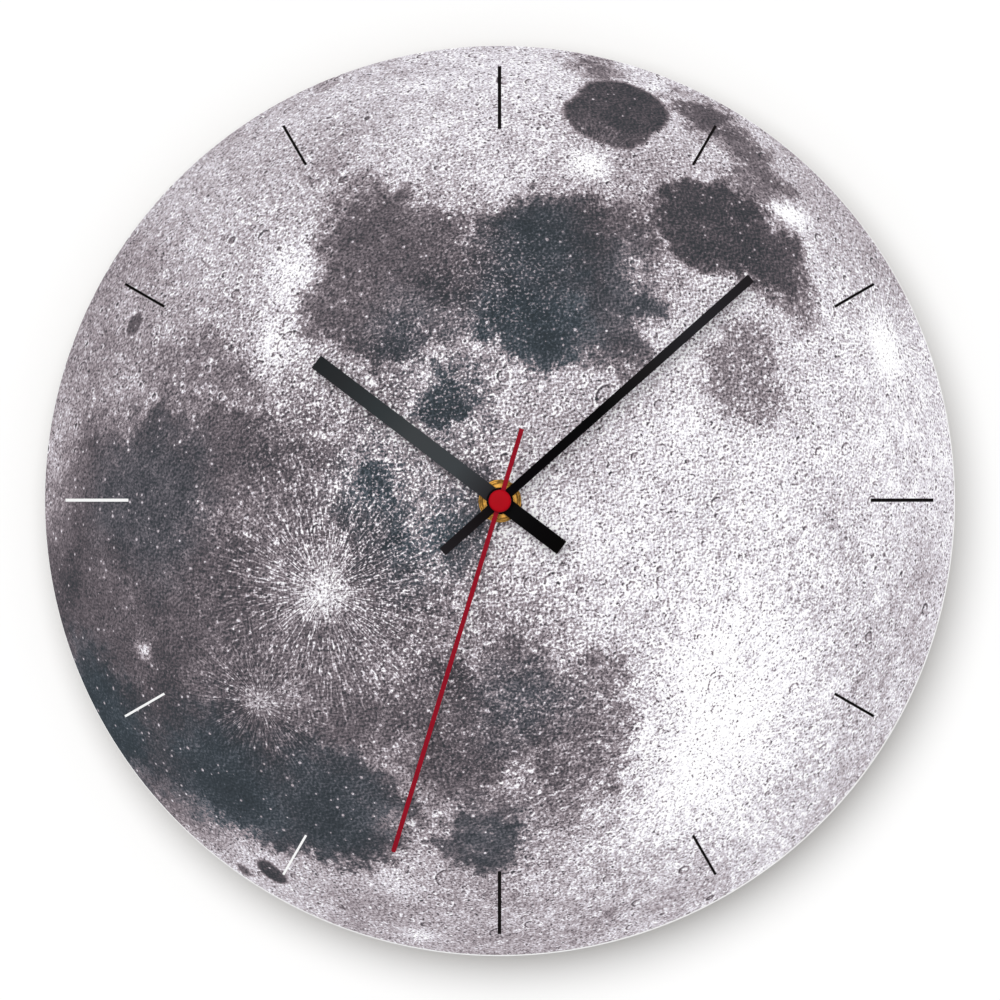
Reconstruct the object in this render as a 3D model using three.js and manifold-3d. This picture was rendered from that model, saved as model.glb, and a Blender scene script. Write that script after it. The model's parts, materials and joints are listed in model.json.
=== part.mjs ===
import * as THREE from "three";
import { mergeVertices } from "three/addons/utils/BufferGeometryUtils.js";
import Module from "manifold-3d";

// A printed wall clock with its quartz movement, in millimetres, laid out as someone reading it
// sees it: x towards three o'clock, y towards twelve and z from the wall towards the reader.
// The outermost group stands the clock up at the end: +Z up and the dial facing -Y.

// Fits
const SEAT_GAP = 0.05; // between pieces that are clamped or pressed together
const RUNNING_GAP = 0.1; // round a shaft that turns in a hole
const AIR_GAP = 0.5; // between a moving piece and what it passes
const CUT_OVERRUN = 1; // how far a cutting shape runs past what it cuts

// Dial and its clamp
const DIAL_DIAMETER = 300;
const BOARD_THICKNESS = 4;
const FILM_THICKNESS = 0.3;
const GASKET_DIAMETER = 24;
const GASKET_THICKNESS = 1;
const WASHER_DIAMETER = 14.2;
const WASHER_THICKNESS = 0.6;
const NUT_ACROSS_FLATS = 11;
const NUT_THICKNESS = 2.2;
const NUT_CHAMFER = 0.5;
const BUSH_DIAMETER = 8;
const BUSH_STANDOUT = 1;
const BUSH_FLANGE_DIAMETER = 11;
const BUSH_FLANGE_THICKNESS = 1.4;

// Hands, with their lengths from the axis, and the time that they show
const HOUR_ANGLE = 307.2;
const MINUTE_ANGLE = 48.4;
const SECOND_ANGLE = 196.9;
const HOUR_HAND_LENGTH = 75.8;
const HOUR_HAND_TAIL = 25.5;
const HOUR_HAND_WIDTH = 5.2;
const HOUR_HAND_TIP_WIDTH = 5.1;
const MINUTE_HAND_LENGTH = 110.3;
const MINUTE_HAND_TAIL = 25.2;
const MINUTE_HAND_WIDTH = 3.1;
const SECOND_HAND_LENGTH = 120.5;
const SECOND_HAND_TAIL = 24.8;
const SECOND_HAND_WIDTH = 1.55;
const HOUR_HUB_DIAMETER = 8.8;
const MINUTE_HUB_DIAMETER = 8.8;
const SECOND_HUB_DIAMETER = 5;
const HAND_THICKNESS = 0.45;
const SECOND_HAND_THICKNESS = 0.35;
const HAND_SPACING = 0.6;
const CAP_DIAMETER = 7.4;
const CAP_HEIGHT = 1.9;
const CAP_EDGE_RADIUS = 0.6;

// Pipes and arbors
const HOUR_PIPE_DIAMETER = 5;
const MINUTE_PIPE_DIAMETER = 3.3;
const SECOND_ARBOR_DIAMETER = 1;
const SECOND_TUBE_DIAMETER = 2;
const SECOND_TUBE_GRIP = 0.9; // length of the tube past the second hand
const PIPE_STANDOUT = 0.4; // length of a pipe past its hand
const THIRD_ARBOR_DIAMETER = 1;
const ROTOR_ARBOR_DIAMETER = 0.8;
const INTERMEDIATE_PIN_DIAMETER = 0.9;
const MINUTE_STUD_DIAMETER = 1.8;
const SETTING_SHAFT_DIAMETER = 3;
const SETTING_PIVOT_DIAMETER = 1.6;
const PIVOT_LENGTH = 1.2;
const PIVOT_SPARE = 0.3; // depth of a pivot hole past the pivot

// Gears: the going train from the rotor to the centre wheel, and the motion work to the hour pipe
const ADDENDUM = 0.85;
const DEDENDUM = 1.15;
const TOOTH_ROOT_SHARE = 0.48;
const TOOTH_TIP_SHARE = 0.22;
const ROTOR_PINION_TEETH = 8;
const INTERMEDIATE_TEETH = 48;
const INTERMEDIATE_PINION_TEETH = 8;
const SECOND_TEETH = 40;
const SECOND_PINION_TEETH = 8;
const THIRD_TEETH = 60;
const THIRD_PINION_TEETH = 8;
const CENTRE_TEETH = 64;
const CANNON_TEETH = 12;
const MINUTE_WHEEL_TEETH = 36;
const MINUTE_PINION_TEETH = 10;
const HOUR_TEETH = 40;
const SETTING_TEETH = 12;
const MOTOR_MODULE = 0.25; // rotor pinion with the intermediate wheel
const SECONDS_MODULE = 0.3; // intermediate pinion with the second wheel
const CENTRE_MODULE = 0.3; // third pinion with the centre wheel
const MOTION_MODULE = 0.4; // cannon pinion, minute wheel and setting gear
const THIRD_DIRECTION = 160; // degrees from three o'clock, anticlockwise
const INTERMEDIATE_DIRECTION = 75;
const ROTOR_DIRECTION = 95; // seen from the intermediate wheel
const MINUTE_WHEEL_DIRECTION = 10;
const SETTING_DIRECTION = 5; // seen from the minute wheel
const WHEEL_THICKNESS = 0.8;
const LAYER_GAP = 0.65; // between one layer of wheels and the next
const PINION_OVERHANG = 0.15; // how far a pinion reaches past the wheel that it drives

// Case, cover and bridge
const CASE_WALL = 1.5;
const FRONT_WALL = 1.5;
const CASE_CORNER_RADIUS = 4;
const PARTITION_WALL = 1.2;
const COVER_THICKNESS = 1.5;
const COVER_GAP = 0.8; // from the cover to the bridge and the circuit board
const BRIDGE_THICKNESS = 1;
const BRIDGE_CLEARANCE = 0.7; // from the bridge to the first wheel
const BRIDGE_MARGIN = 2.2; // from the rotor to the edge of the bridge
const POST_DIAMETER = 2.4;
const POST_PIN_DIAMETER = 1.4;
const POST_EDGE = 1.6; // from a post to the edge of the bridge
const BOSS_WALL = 0.9;
const LEG_WIDTH = 4;
const LEG_THICKNESS = 1;
const LEG_LENGTH = 3;
const LEG_SPREAD = 4; // from the setting knob to each lower leg
const HANGER_WIDTH = 22;
const HANGER_HEIGHT = 12;
const HANGER_THICKNESS = 2.4;
const HANGER_BAR = 3;
const HANGER_SILL = 1.5; // from the case to the loop
const HANGER_CORNER_RADIUS = 4;
const NOTCH_WIDTH = 4.5;
const NOTCH_DEPTH = 1.4;
const KNOB_DIAMETER = 10;
const KNOB_THICKNESS = 2.2;
const KNOB_RECESS = 0.4;
const KNOB_RIDGES = 20;
const KNOB_RIDGE_DEPTH = 0.35;
const WELL_WALL = 0.8;
const WELL_FLOOR = 0.8;

// Motor
const MAGNET_DIAMETER = 6;
const MAGNET_BORE_DIAMETER = 2;
const MAGNET_OVERHANG = 0.2; // past each side of the stator
const STATOR_THICKNESS = 1;
const STATOR_GAP = 0.4; // from the magnet to the stator
const STATOR_RING_WALL = 1.3;
const STATOR_BAR_WIDTH = 6;
const STATOR_ARM_WIDTH = 3.6;
const STATOR_ARM_SPACING = 27.2;
const STATOR_POST_DIAMETER = 2.2;
const STATOR_SHOULDER_DIAMETER = 3.6;
const CORE_THICKNESS = 1;
const BOBBIN_WALL = 0.4;
const BOBBIN_FLANGE = 0.8;
const BOBBIN_FLANGE_LIP = 0.3;
const WINDING_DIAMETER = 6.4;
const COIL_GAP = 0.3;

// Electronics and battery
const PCB_THICKNESS = 1;
const PCB_HEIGHT = 7;
const PCB_MARGIN = 2.4; // past the stator's posts
const CHIP_DIAMETER = 4;
const CHIP_HEIGHT = 0.9;
const CHIP_OFFSET = -5; // from the rotor, along the board
const CRYSTAL_DIAMETER = 2;
const CRYSTAL_LENGTH = 6;
const CRYSTAL_OFFSET = 5; // from the rotor, along the board
const BATTERY_DIAMETER = 14.5;
const BATTERY_LENGTH = 50.5;
const BATTERY_NUB_DIAMETER = 5.5;
const BATTERY_NUB_LENGTH = 1;
const BATTERY_EDGE = 0.6;
const BATTERY_RECESS = 0.3;
const BAY_CLEARANCE = 0.3;
const BAY_FRONT_WALL = 0.9;
const CONTACT_THICKNESS = 0.4;
const CONTACT_WIDTH = 8;
const CONTACT_RISER_WIDTH = 3;
const CONTACT_TAB_WIDTH = 1.8;
const CONTACT_TAB_OVERLAP = 1.5;
const SPRING_DEPTH = 1.6; // from the negative contact to the cell
const SPRING_WIDTH = 6;
const SPRING_FLAT = 2; // height of the flat that touches the cell

// Facets
const DIAL_SIDES = 96;
const ROUND_SIDES = 24;
const SMALL_SIDES = 12;
const EDGE_STEPS = 4;

const wasm = await Module();
wasm.setup();

// Geometry helpers

function solid(geometry) {
  geometry.deleteAttribute("normal");
  geometry.deleteAttribute("uv");
  const merged = mergeVertices(geometry);
  return new wasm.Manifold(
    new wasm.Mesh({
      numProp: 3,
      vertProperties: merged.attributes.position.array,
      triVerts: new Uint32Array(merged.index.array),
    }),
  );
}

function geometryOf(body) {
  const mesh = body.getMesh();
  const geometry = new THREE.BufferGeometry();
  geometry.setAttribute("position", new THREE.BufferAttribute(mesh.vertProperties, mesh.numProp));
  geometry.setIndex(new THREE.BufferAttribute(mesh.triVerts, 1));
  geometry.computeVertexNormals();
  return geometry;
}

// A flat outline made thick from one height to another.
function prism(shape, back, front) {
  const geometry = new THREE.ExtrudeGeometry(shape, {
    depth: front - back,
    bevelEnabled: false,
    curveSegments: EDGE_STEPS,
  });
  return solid(geometry.translate(0, 0, back));
}

// A body turned about z from [radius, height] corners that run anticlockwise.
function turned(corners, sides = ROUND_SIDES) {
  const points = corners.map(([radius, height]) => new THREE.Vector2(radius, height));
  const onAxis = points[0].x === 0;
  if (!onAxis) points.push(points[0].clone());
  return solid(new THREE.LatheGeometry(points, sides).rotateX(Math.PI / 2));
}

function rod(diameter, back, front, sides = SMALL_SIDES) {
  const radius = diameter / 2;
  return turned([[0, back], [radius, back], [radius, front], [0, front]], sides);
}

// The shape that cuts a through hole.
function drill(diameter, back, front, sides = SMALL_SIDES) {
  return rod(diameter, back - CUT_OVERRUN, front + CUT_OVERRUN, sides);
}

function ring(diameter, bore, back, front, sides = ROUND_SIDES) {
  const outer = diameter / 2;
  const inner = bore / 2;
  return turned([[inner, back], [outer, back], [outer, front], [inner, front]], sides);
}

function box(low, high) {
  const geometry = new THREE.BoxGeometry(...high.map((value, axis) => value - low[axis]));
  return solid(geometry.translate(...high.map((value, axis) => (value + low[axis]) / 2)));
}

function moved(body, place) {
  return body.translate([place.x, place.y, 0]);
}

// A rectangle whose corners are rounded, all of them or only the upper two.
function roundedShape(left, bottom, right, top, radius, lowerRadius = radius) {
  const shape = new THREE.Shape();
  shape.moveTo(left + lowerRadius, bottom);
  shape.lineTo(right - lowerRadius, bottom);
  if (lowerRadius > 0) {
    shape.absarc(right - lowerRadius, bottom + lowerRadius, lowerRadius, -Math.PI / 2, 0);
  }
  shape.lineTo(right, top - radius);
  shape.absarc(right - radius, top - radius, radius, 0, Math.PI / 2);
  shape.lineTo(left + radius, top);
  shape.absarc(left + radius, top - radius, radius, Math.PI / 2, Math.PI);
  shape.lineTo(left, bottom + lowerRadius);
  if (lowerRadius > 0) {
    shape.absarc(left + lowerRadius, bottom + lowerRadius, lowerRadius, -Math.PI, -Math.PI / 2);
  }
  return shape;
}

// A bent strip: the line through its middle, given a thickness.
function stripShape(line, thickness) {
  const sides = line.map((point, i) => {
    const before = line[Math.max(i - 1, 0)];
    const after = line[Math.min(i + 1, line.length - 1)];
    const into = (i > 0 ? point.clone().sub(before) : after.clone().sub(point)).normalize();
    const outOf = (i < line.length - 1 ? after.clone().sub(point) : into.clone()).normalize();
    const along = into.clone().add(outOf).normalize();
    const across = new THREE.Vector2(-along.y, along.x);
    return across.multiplyScalar(thickness / 2 / along.dot(into));
  });
  const left = line.map((point, i) => point.clone().add(sides[i]));
  const right = line.map((point, i) => point.clone().sub(sides[i]));
  return new THREE.Shape([...right, ...left.reverse()]);
}

// Gears

const centreDistance = (module, teeth, otherTeeth) => (module * (teeth + otherTeeth)) / 2;
const tipRadius = (module, teeth) => module * (teeth / 2 + ADDENDUM);
const rootRadius = (module, teeth) => module * (teeth / 2 - DEDENDUM);

// A toothed disc about the axis, one tooth pointing to the given angle.
function gear(teeth, module, phase, back, front, bore = 0) {
  const pitch = (2 * Math.PI) / teeth;
  const corners = [
    [rootRadius(module, teeth), -TOOTH_ROOT_SHARE / 2],
    [tipRadius(module, teeth), -TOOTH_TIP_SHARE / 2],
    [tipRadius(module, teeth), TOOTH_TIP_SHARE / 2],
    [rootRadius(module, teeth), TOOTH_ROOT_SHARE / 2],
  ];
  const points = [];
  for (let tooth = 0; tooth < teeth; tooth += 1) {
    for (const [radius, share] of corners) {
      const angle = phase + (tooth + share) * pitch;
      points.push(new THREE.Vector2(Math.cos(angle), Math.sin(angle)).multiplyScalar(radius));
    }
  }
  const disc = prism(new THREE.Shape(points), back, front);
  if (bore === 0) return disc;
  return disc.subtract(drill(bore, back, front, ROUND_SIDES));
}

// The phase at which a gear's gap faces a tooth of the gear that it meshes with.
function meshedPhase(place, teeth, phase, otherPlace, otherTeeth) {
  const line = otherPlace.clone().sub(place).angle();
  const share = ((line - phase) * teeth) / (2 * Math.PI);
  return line + Math.PI - ((2 * Math.PI) / otherTeeth) * (0.5 - share);
}

// Where the arbors stand

function away(place, distance, degrees) {
  const step = new THREE.Vector2(distance, 0);
  return step.rotateAround(new THREE.Vector2(), THREE.MathUtils.degToRad(degrees)).add(place);
}

const centrePair = THIRD_PINION_TEETH + CENTRE_TEETH;
const thirdModule = (CENTRE_MODULE * centrePair) / (SECOND_PINION_TEETH + THIRD_TEETH);
const motionPair = CANNON_TEETH + MINUTE_WHEEL_TEETH;
const hourModule = (MOTION_MODULE * motionPair) / (MINUTE_PINION_TEETH + HOUR_TEETH);

const secondsDistance = centreDistance(SECONDS_MODULE, INTERMEDIATE_PINION_TEETH, SECOND_TEETH);
const motorDistance = centreDistance(MOTOR_MODULE, ROTOR_PINION_TEETH, INTERMEDIATE_TEETH);
const thirdDistance = centreDistance(thirdModule, SECOND_PINION_TEETH, THIRD_TEETH);
const motionDistance = centreDistance(MOTION_MODULE, CANNON_TEETH, MINUTE_WHEEL_TEETH);
const settingDistance = centreDistance(MOTION_MODULE, MINUTE_WHEEL_TEETH, SETTING_TEETH);

const axis = new THREE.Vector2(0, 0);
const third = away(axis, thirdDistance, THIRD_DIRECTION);
const intermediate = away(axis, secondsDistance, INTERMEDIATE_DIRECTION);
const rotor = away(intermediate, motorDistance, ROTOR_DIRECTION);
const minuteWheel = away(axis, motionDistance, MINUTE_WHEEL_DIRECTION);
const setting = away(minuteWheel, settingDistance, SETTING_DIRECTION);

// Heights of the bridge, the circuit board and the layers of wheels

const bridgeBack = COVER_THICKNESS + COVER_GAP;
const bridgeFront = bridgeBack + BRIDGE_THICKNESS;
const pcbFront = bridgeBack + PCB_THICKNESS;

function layer(number) {
  const back = bridgeFront + BRIDGE_CLEARANCE + number * (WHEEL_THICKNESS + LAYER_GAP);
  return { back, front: back + WHEEL_THICKNESS };
}

const intermediateLayer = layer(0);
const secondLayer = layer(1);
const thirdLayer = layer(2);
const centreLayer = layer(3);
const minuteLayer = layer(4);
const hourLayer = layer(5);

// Depth of the case, and everything clamped in front of it

const trainDepth = hourLayer.front + AIR_GAP + BUSH_FLANGE_THICKNESS + SEAT_GAP + FRONT_WALL;
const batteryDepth = BATTERY_RECESS + BATTERY_DIAMETER + BAY_CLEARANCE + BAY_FRONT_WALL;
const caseDepth = Math.max(trainDepth, batteryDepth);
const plateBack = caseDepth - FRONT_WALL;
const gasketBack = caseDepth + SEAT_GAP;
const boardBack = gasketBack + GASKET_THICKNESS + SEAT_GAP;
const filmBack = boardBack + BOARD_THICKNESS + SEAT_GAP;
const washerBack = filmBack + FILM_THICKNESS + SEAT_GAP;
const nutBack = washerBack + WASHER_THICKNESS + SEAT_GAP;
const bushFront = nutBack + NUT_THICKNESS + BUSH_STANDOUT;
const hourHandBack = bushFront + HAND_SPACING;
const hourPipeFront = hourHandBack + HAND_THICKNESS + PIPE_STANDOUT;
const minuteHandBack = hourPipeFront + HAND_SPACING;
const minutePipeFront = minuteHandBack + HAND_THICKNESS + PIPE_STANDOUT;
const secondHandBack = minutePipeFront + HAND_SPACING;
const secondHandFront = secondHandBack + SECOND_HAND_THICKNESS;
const secondTubeBack = minutePipeFront + HAND_SPACING / 2;
const secondTubeFront = secondHandFront + SECOND_TUBE_GRIP;
const capBack = secondHandFront + SEAT_GAP;
const clampBore = BUSH_DIAMETER + 2 * SEAT_GAP;

// Motor heights and places

const statorBack = centreLayer.front + MAGNET_OVERHANG + RUNNING_GAP;
const statorFront = statorBack + STATOR_THICKNESS;
const coreFront = statorBack - SEAT_GAP;
const coreBack = coreFront - CORE_THICKNESS;
const coreMiddle = (coreBack + coreFront) / 2;
const statorBore = MAGNET_DIAMETER + 2 * STATOR_GAP;
const statorRing = statorBore + 2 * STATOR_RING_WALL;
const flangeDiameter = WINDING_DIAMETER + 2 * BOBBIN_FLANGE_LIP;
const coilY = rotor.y + statorRing / 2 + COIL_GAP + flangeDiameter / 2;
const arms = [-1, 1].map((side) => new THREE.Vector2(rotor.x + (side * STATOR_ARM_SPACING) / 2, coilY));

// Outline of the case round the wheels, the coil and the battery

const centreTip = tipRadius(CENTRE_MODULE, CENTRE_TEETH);
const thirdTip = tipRadius(thirdModule, THIRD_TEETH);
const partitionTop = -Math.max(centreTip, thirdTip - third.y) - AIR_GAP;
const bayTop = partitionTop - PARTITION_WALL;
const bayBottom = bayTop - BATTERY_DIAMETER - 2 * BAY_CLEARANCE;
const caseBottom = bayBottom - CASE_WALL;
const batteryY = (bayTop + bayBottom) / 2;
const batteryZ = BATTERY_RECESS + BATTERY_DIAMETER / 2;
const innerTop = coilY + Math.max(flangeDiameter, PCB_HEIGHT) / 2 + AIR_GAP;
const caseTop = innerTop + CASE_WALL;
const postX = third.x - thirdTip - AIR_GAP - POST_DIAMETER / 2;
const wellDiameter = KNOB_DIAMETER + 2 * AIR_GAP;
const contactLane = CONTACT_THICKNESS + SEAT_GAP + AIR_GAP;
const batteryRoom = BATTERY_LENGTH + SPRING_DEPTH + 2 * (CONTACT_THICKNESS + 2 * SEAT_GAP);
const innerHalfWidth = Math.max(
  batteryRoom / 2,
  setting.x + wellDiameter / 2 + WELL_WALL + contactLane,
  POST_EDGE - postX + contactLane,
);
const caseHalfWidth = innerHalfWidth + CASE_WALL;
const bridgeBottom = partitionTop + AIR_GAP / 2;
const bridgeTop = rotor.y + BRIDGE_MARGIN;
const lowerPostY = bridgeBottom + POST_EDGE;
const postReach = centreTip + AIR_GAP + POST_DIAMETER / 2;
const posts = [
  new THREE.Vector2(postX, bridgeTop - POST_EDGE),
  new THREE.Vector2(postX, lowerPostY),
  new THREE.Vector2(Math.sqrt(postReach ** 2 - lowerPostY ** 2), lowerPostY),
];
const bridgeLeft = postX - POST_EDGE;
const bridgeRight = posts[2].x + POST_EDGE;

// Phases that bring the gears into mesh

const secondWheelPhase = 0;
const secondPinionPhase = 0;
const cannonPhase = 0;
const intermediatePinionPhase = meshedPhase(
  axis, SECOND_TEETH, secondWheelPhase, intermediate, INTERMEDIATE_PINION_TEETH,
);
const intermediateWheelPhase = intermediatePinionPhase;
const rotorPhase = meshedPhase(
  intermediate, INTERMEDIATE_TEETH, intermediateWheelPhase, rotor, ROTOR_PINION_TEETH,
);
const thirdWheelPhase = meshedPhase(axis, SECOND_PINION_TEETH, secondPinionPhase, third, THIRD_TEETH);
const thirdPinionPhase = thirdWheelPhase;
const centrePhase = meshedPhase(third, THIRD_PINION_TEETH, thirdPinionPhase, axis, CENTRE_TEETH);
const minuteWheelPhase = meshedPhase(axis, CANNON_TEETH, cannonPhase, minuteWheel, MINUTE_WHEEL_TEETH);
const minutePinionPhase = minuteWheelPhase;
const hourPhase = meshedPhase(minuteWheel, MINUTE_PINION_TEETH, minutePinionPhase, axis, HOUR_TEETH);
const settingPhase = meshedPhase(
  minuteWheel, MINUTE_WHEEL_TEETH, minuteWheelPhase, setting, SETTING_TEETH,
);

// Dial

function dialDisc() {
  return ring(DIAL_DIAMETER, clampBore, boardBack, boardBack + BOARD_THICKNESS, DIAL_SIDES);
}

function printedFace() {
  return ring(DIAL_DIAMETER, clampBore, filmBack, filmBack + FILM_THICKNESS, DIAL_SIDES);
}

function rubberGasket() {
  return ring(GASKET_DIAMETER, clampBore, gasketBack, gasketBack + GASKET_THICKNESS);
}

function brassWasher() {
  return ring(WASHER_DIAMETER, clampBore, washerBack, washerBack + WASHER_THICKNESS);
}

function hexNut() {
  const cornerRadius = NUT_ACROSS_FLATS / Math.sqrt(3);
  const corners = [0, 60, 120, 180, 240, 300].map((degrees) => away(axis, cornerRadius, degrees));
  const front = nutBack + NUT_THICKNESS;
  const chamfered = turned([
    [0, nutBack],
    [cornerRadius, nutBack],
    [cornerRadius, front - NUT_CHAMFER],
    [NUT_ACROSS_FLATS / 2, front],
    [0, front],
  ]);
  const prismatic = prism(new THREE.Shape(corners), nutBack, front);
  return prismatic.intersect(chamfered).subtract(drill(clampBore, nutBack, front, ROUND_SIDES));
}

function threadedBush() {
  const flange = BUSH_FLANGE_DIAMETER / 2;
  const outer = BUSH_DIAMETER / 2;
  const bore = HOUR_PIPE_DIAMETER / 2 + RUNNING_GAP;
  const flangeFront = plateBack - SEAT_GAP;
  const flangeBack = flangeFront - BUSH_FLANGE_THICKNESS;
  return turned([
    [bore, flangeBack],
    [flange, flangeBack],
    [flange, flangeFront],
    [outer, flangeFront],
    [outer, bushFront],
    [bore, bushFront],
  ]);
}

// Hands, each made pointing to twelve

function hand(size) {
  const tip = size.tipWidth / 2;
  const wide = size.width / 2;
  const blade = new THREE.Shape([
    new THREE.Vector2(-wide, -size.tail),
    new THREE.Vector2(wide, -size.tail),
    new THREE.Vector2(wide, 0),
    new THREE.Vector2(tip, size.length),
    new THREE.Vector2(-tip, size.length),
    new THREE.Vector2(-wide, 0),
  ]);
  const front = size.back + size.thickness;
  const hub = rod(size.hub, size.back, front, ROUND_SIDES);
  const bore = drill(size.bore + 2 * SEAT_GAP, size.back, front, ROUND_SIDES);
  return prism(blade, size.back, front).add(hub).subtract(bore);
}

function hourHand() {
  return hand({
    length: HOUR_HAND_LENGTH,
    tail: HOUR_HAND_TAIL,
    width: HOUR_HAND_WIDTH,
    tipWidth: HOUR_HAND_TIP_WIDTH,
    hub: HOUR_HUB_DIAMETER,
    bore: HOUR_PIPE_DIAMETER,
    back: hourHandBack,
    thickness: HAND_THICKNESS,
  });
}

function minuteHand() {
  return hand({
    length: MINUTE_HAND_LENGTH,
    tail: MINUTE_HAND_TAIL,
    width: MINUTE_HAND_WIDTH,
    tipWidth: MINUTE_HAND_WIDTH,
    hub: MINUTE_HUB_DIAMETER,
    bore: MINUTE_PIPE_DIAMETER,
    back: minuteHandBack,
    thickness: HAND_THICKNESS,
  });
}

function secondHand() {
  return hand({
    length: SECOND_HAND_LENGTH,
    tail: SECOND_HAND_TAIL,
    width: SECOND_HAND_WIDTH,
    tipWidth: SECOND_HAND_WIDTH,
    hub: SECOND_HUB_DIAMETER,
    bore: SECOND_TUBE_DIAMETER,
    back: secondHandBack,
    thickness: SECOND_HAND_THICKNESS,
  });
}

function secondHandTube() {
  const bore = SECOND_ARBOR_DIAMETER + 2 * SEAT_GAP;
  return ring(SECOND_TUBE_DIAMETER, bore, secondTubeBack, secondTubeFront, SMALL_SIDES);
}

function secondHandCap() {
  const radius = CAP_DIAMETER / 2;
  const pocket = SECOND_TUBE_DIAMETER / 2 + SEAT_GAP;
  const front = capBack + CAP_HEIGHT;
  const edge = [];
  for (let step = 0; step <= EDGE_STEPS; step += 1) {
    const angle = ((Math.PI / 2) * step) / EDGE_STEPS;
    edge.push([
      radius - CAP_EDGE_RADIUS * (1 - Math.cos(angle)),
      front - CAP_EDGE_RADIUS * (1 - Math.sin(angle)),
    ]);
  }
  return turned([
    [0, secondTubeFront + SEAT_GAP],
    [pocket, secondTubeFront + SEAT_GAP],
    [pocket, capBack],
    [radius, capBack],
    ...edge,
    [0, front],
  ]);
}

// Wheels, each made about its own arbor

function hourWheelBody() {
  const bore = MINUTE_PIPE_DIAMETER + 2 * RUNNING_GAP;
  const wheel = gear(HOUR_TEETH, hourModule, hourPhase, hourLayer.back, hourLayer.front, bore);
  return wheel.add(ring(HOUR_PIPE_DIAMETER, bore, hourLayer.back, hourPipeFront));
}

function cannonPinion() {
  const bore = SECOND_ARBOR_DIAMETER + 2 * RUNNING_GAP;
  const back = minuteLayer.back - PINION_OVERHANG;
  const front = minuteLayer.front + PINION_OVERHANG;
  const pinion = gear(CANNON_TEETH, MOTION_MODULE, cannonPhase, back, front, bore);
  return pinion.add(ring(MINUTE_PIPE_DIAMETER, bore, centreLayer.back, minutePipeFront));
}

function centreWheel() {
  const bore = MINUTE_PIPE_DIAMETER + 2 * RUNNING_GAP;
  return gear(CENTRE_TEETH, CENTRE_MODULE, centrePhase, centreLayer.back, centreLayer.front, bore);
}

function secondWheel() {
  const bore = SECOND_ARBOR_DIAMETER + 2 * SEAT_GAP;
  const { back, front } = secondLayer;
  const pinionFront = thirdLayer.front + PINION_OVERHANG;
  const wheel = gear(SECOND_TEETH, SECONDS_MODULE, secondWheelPhase, back, front, bore);
  const pinion = gear(SECOND_PINION_TEETH, thirdModule, secondPinionPhase, back, pinionFront, bore);
  return wheel.add(pinion);
}

function thirdWheel() {
  const { back, front } = thirdLayer;
  const pinionFront = centreLayer.front + PINION_OVERHANG;
  const wheel = gear(THIRD_TEETH, thirdModule, thirdWheelPhase, back, front);
  const pinion = gear(THIRD_PINION_TEETH, CENTRE_MODULE, thirdPinionPhase, back, pinionFront);
  const arborFront = pinionFront + AIR_GAP + PIVOT_LENGTH;
  return wheel.add(pinion).add(rod(THIRD_ARBOR_DIAMETER, bridgeBack, arborFront));
}

function intermediateWheelBody() {
  const bore = INTERMEDIATE_PIN_DIAMETER + 2 * RUNNING_GAP;
  const { back, front } = intermediateLayer;
  const pinionFront = secondLayer.front + PINION_OVERHANG;
  const wheel = gear(INTERMEDIATE_TEETH, MOTOR_MODULE, intermediateWheelPhase, back, front, bore);
  const pinion = gear(
    INTERMEDIATE_PINION_TEETH, SECONDS_MODULE, intermediatePinionPhase, back, pinionFront, bore,
  );
  return wheel.add(pinion);
}

function intermediatePin() {
  return rod(INTERMEDIATE_PIN_DIAMETER, bridgeBack, secondLayer.front + LAYER_GAP / 2);
}

function rotorPinion() {
  const back = intermediateLayer.back - PINION_OVERHANG;
  const front = intermediateLayer.front + PINION_OVERHANG;
  const pinion = gear(ROTOR_PINION_TEETH, MOTOR_MODULE, rotorPhase, back, front);
  const seat = rod(MAGNET_BORE_DIAMETER - 2 * SEAT_GAP, front, statorFront + MAGNET_OVERHANG);
  const arborFront = statorFront + MAGNET_OVERHANG + AIR_GAP + PIVOT_LENGTH;
  return pinion.add(seat).add(rod(ROTOR_ARBOR_DIAMETER, bridgeBack, arborFront));
}

function rotorMagnet() {
  const back = statorBack - MAGNET_OVERHANG;
  const front = statorFront + MAGNET_OVERHANG;
  return ring(MAGNET_DIAMETER, MAGNET_BORE_DIAMETER, back, front);
}

function minuteWheelBody() {
  const bore = MINUTE_STUD_DIAMETER + 2 * RUNNING_GAP;
  const { back, front } = minuteLayer;
  const pinionFront = hourLayer.front + PINION_OVERHANG;
  const wheel = gear(MINUTE_WHEEL_TEETH, MOTION_MODULE, minuteWheelPhase, back, front, bore);
  const pinion = gear(MINUTE_PINION_TEETH, hourModule, minutePinionPhase, back, pinionFront, bore);
  return wheel.add(pinion);
}

function settingKnob() {
  const radius = KNOB_DIAMETER / 2;
  const points = [];
  for (let ridge = 0; ridge < KNOB_RIDGES; ridge += 1) {
    const step = 360 / KNOB_RIDGES;
    points.push(away(axis, radius, ridge * step));
    points.push(away(axis, radius - KNOB_RIDGE_DEPTH, (ridge + 1 / 2) * step));
  }
  const knobFront = KNOB_RECESS + KNOB_THICKNESS;
  const gearBack = minuteLayer.back - PINION_OVERHANG;
  const gearFront = minuteLayer.front + PINION_OVERHANG;
  const shaft = rod(SETTING_SHAFT_DIAMETER, KNOB_RECESS, gearFront);
  const pivot = rod(SETTING_PIVOT_DIAMETER, gearBack, gearFront + AIR_GAP + PIVOT_LENGTH);
  const pinion = gear(SETTING_TEETH, MOTION_MODULE, settingPhase, gearBack, gearFront);
  return prism(new THREE.Shape(points), KNOB_RECESS, knobFront).add(shaft).add(pinion).add(pivot);
}

// Case, with the posts and bosses that carry the train

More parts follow.
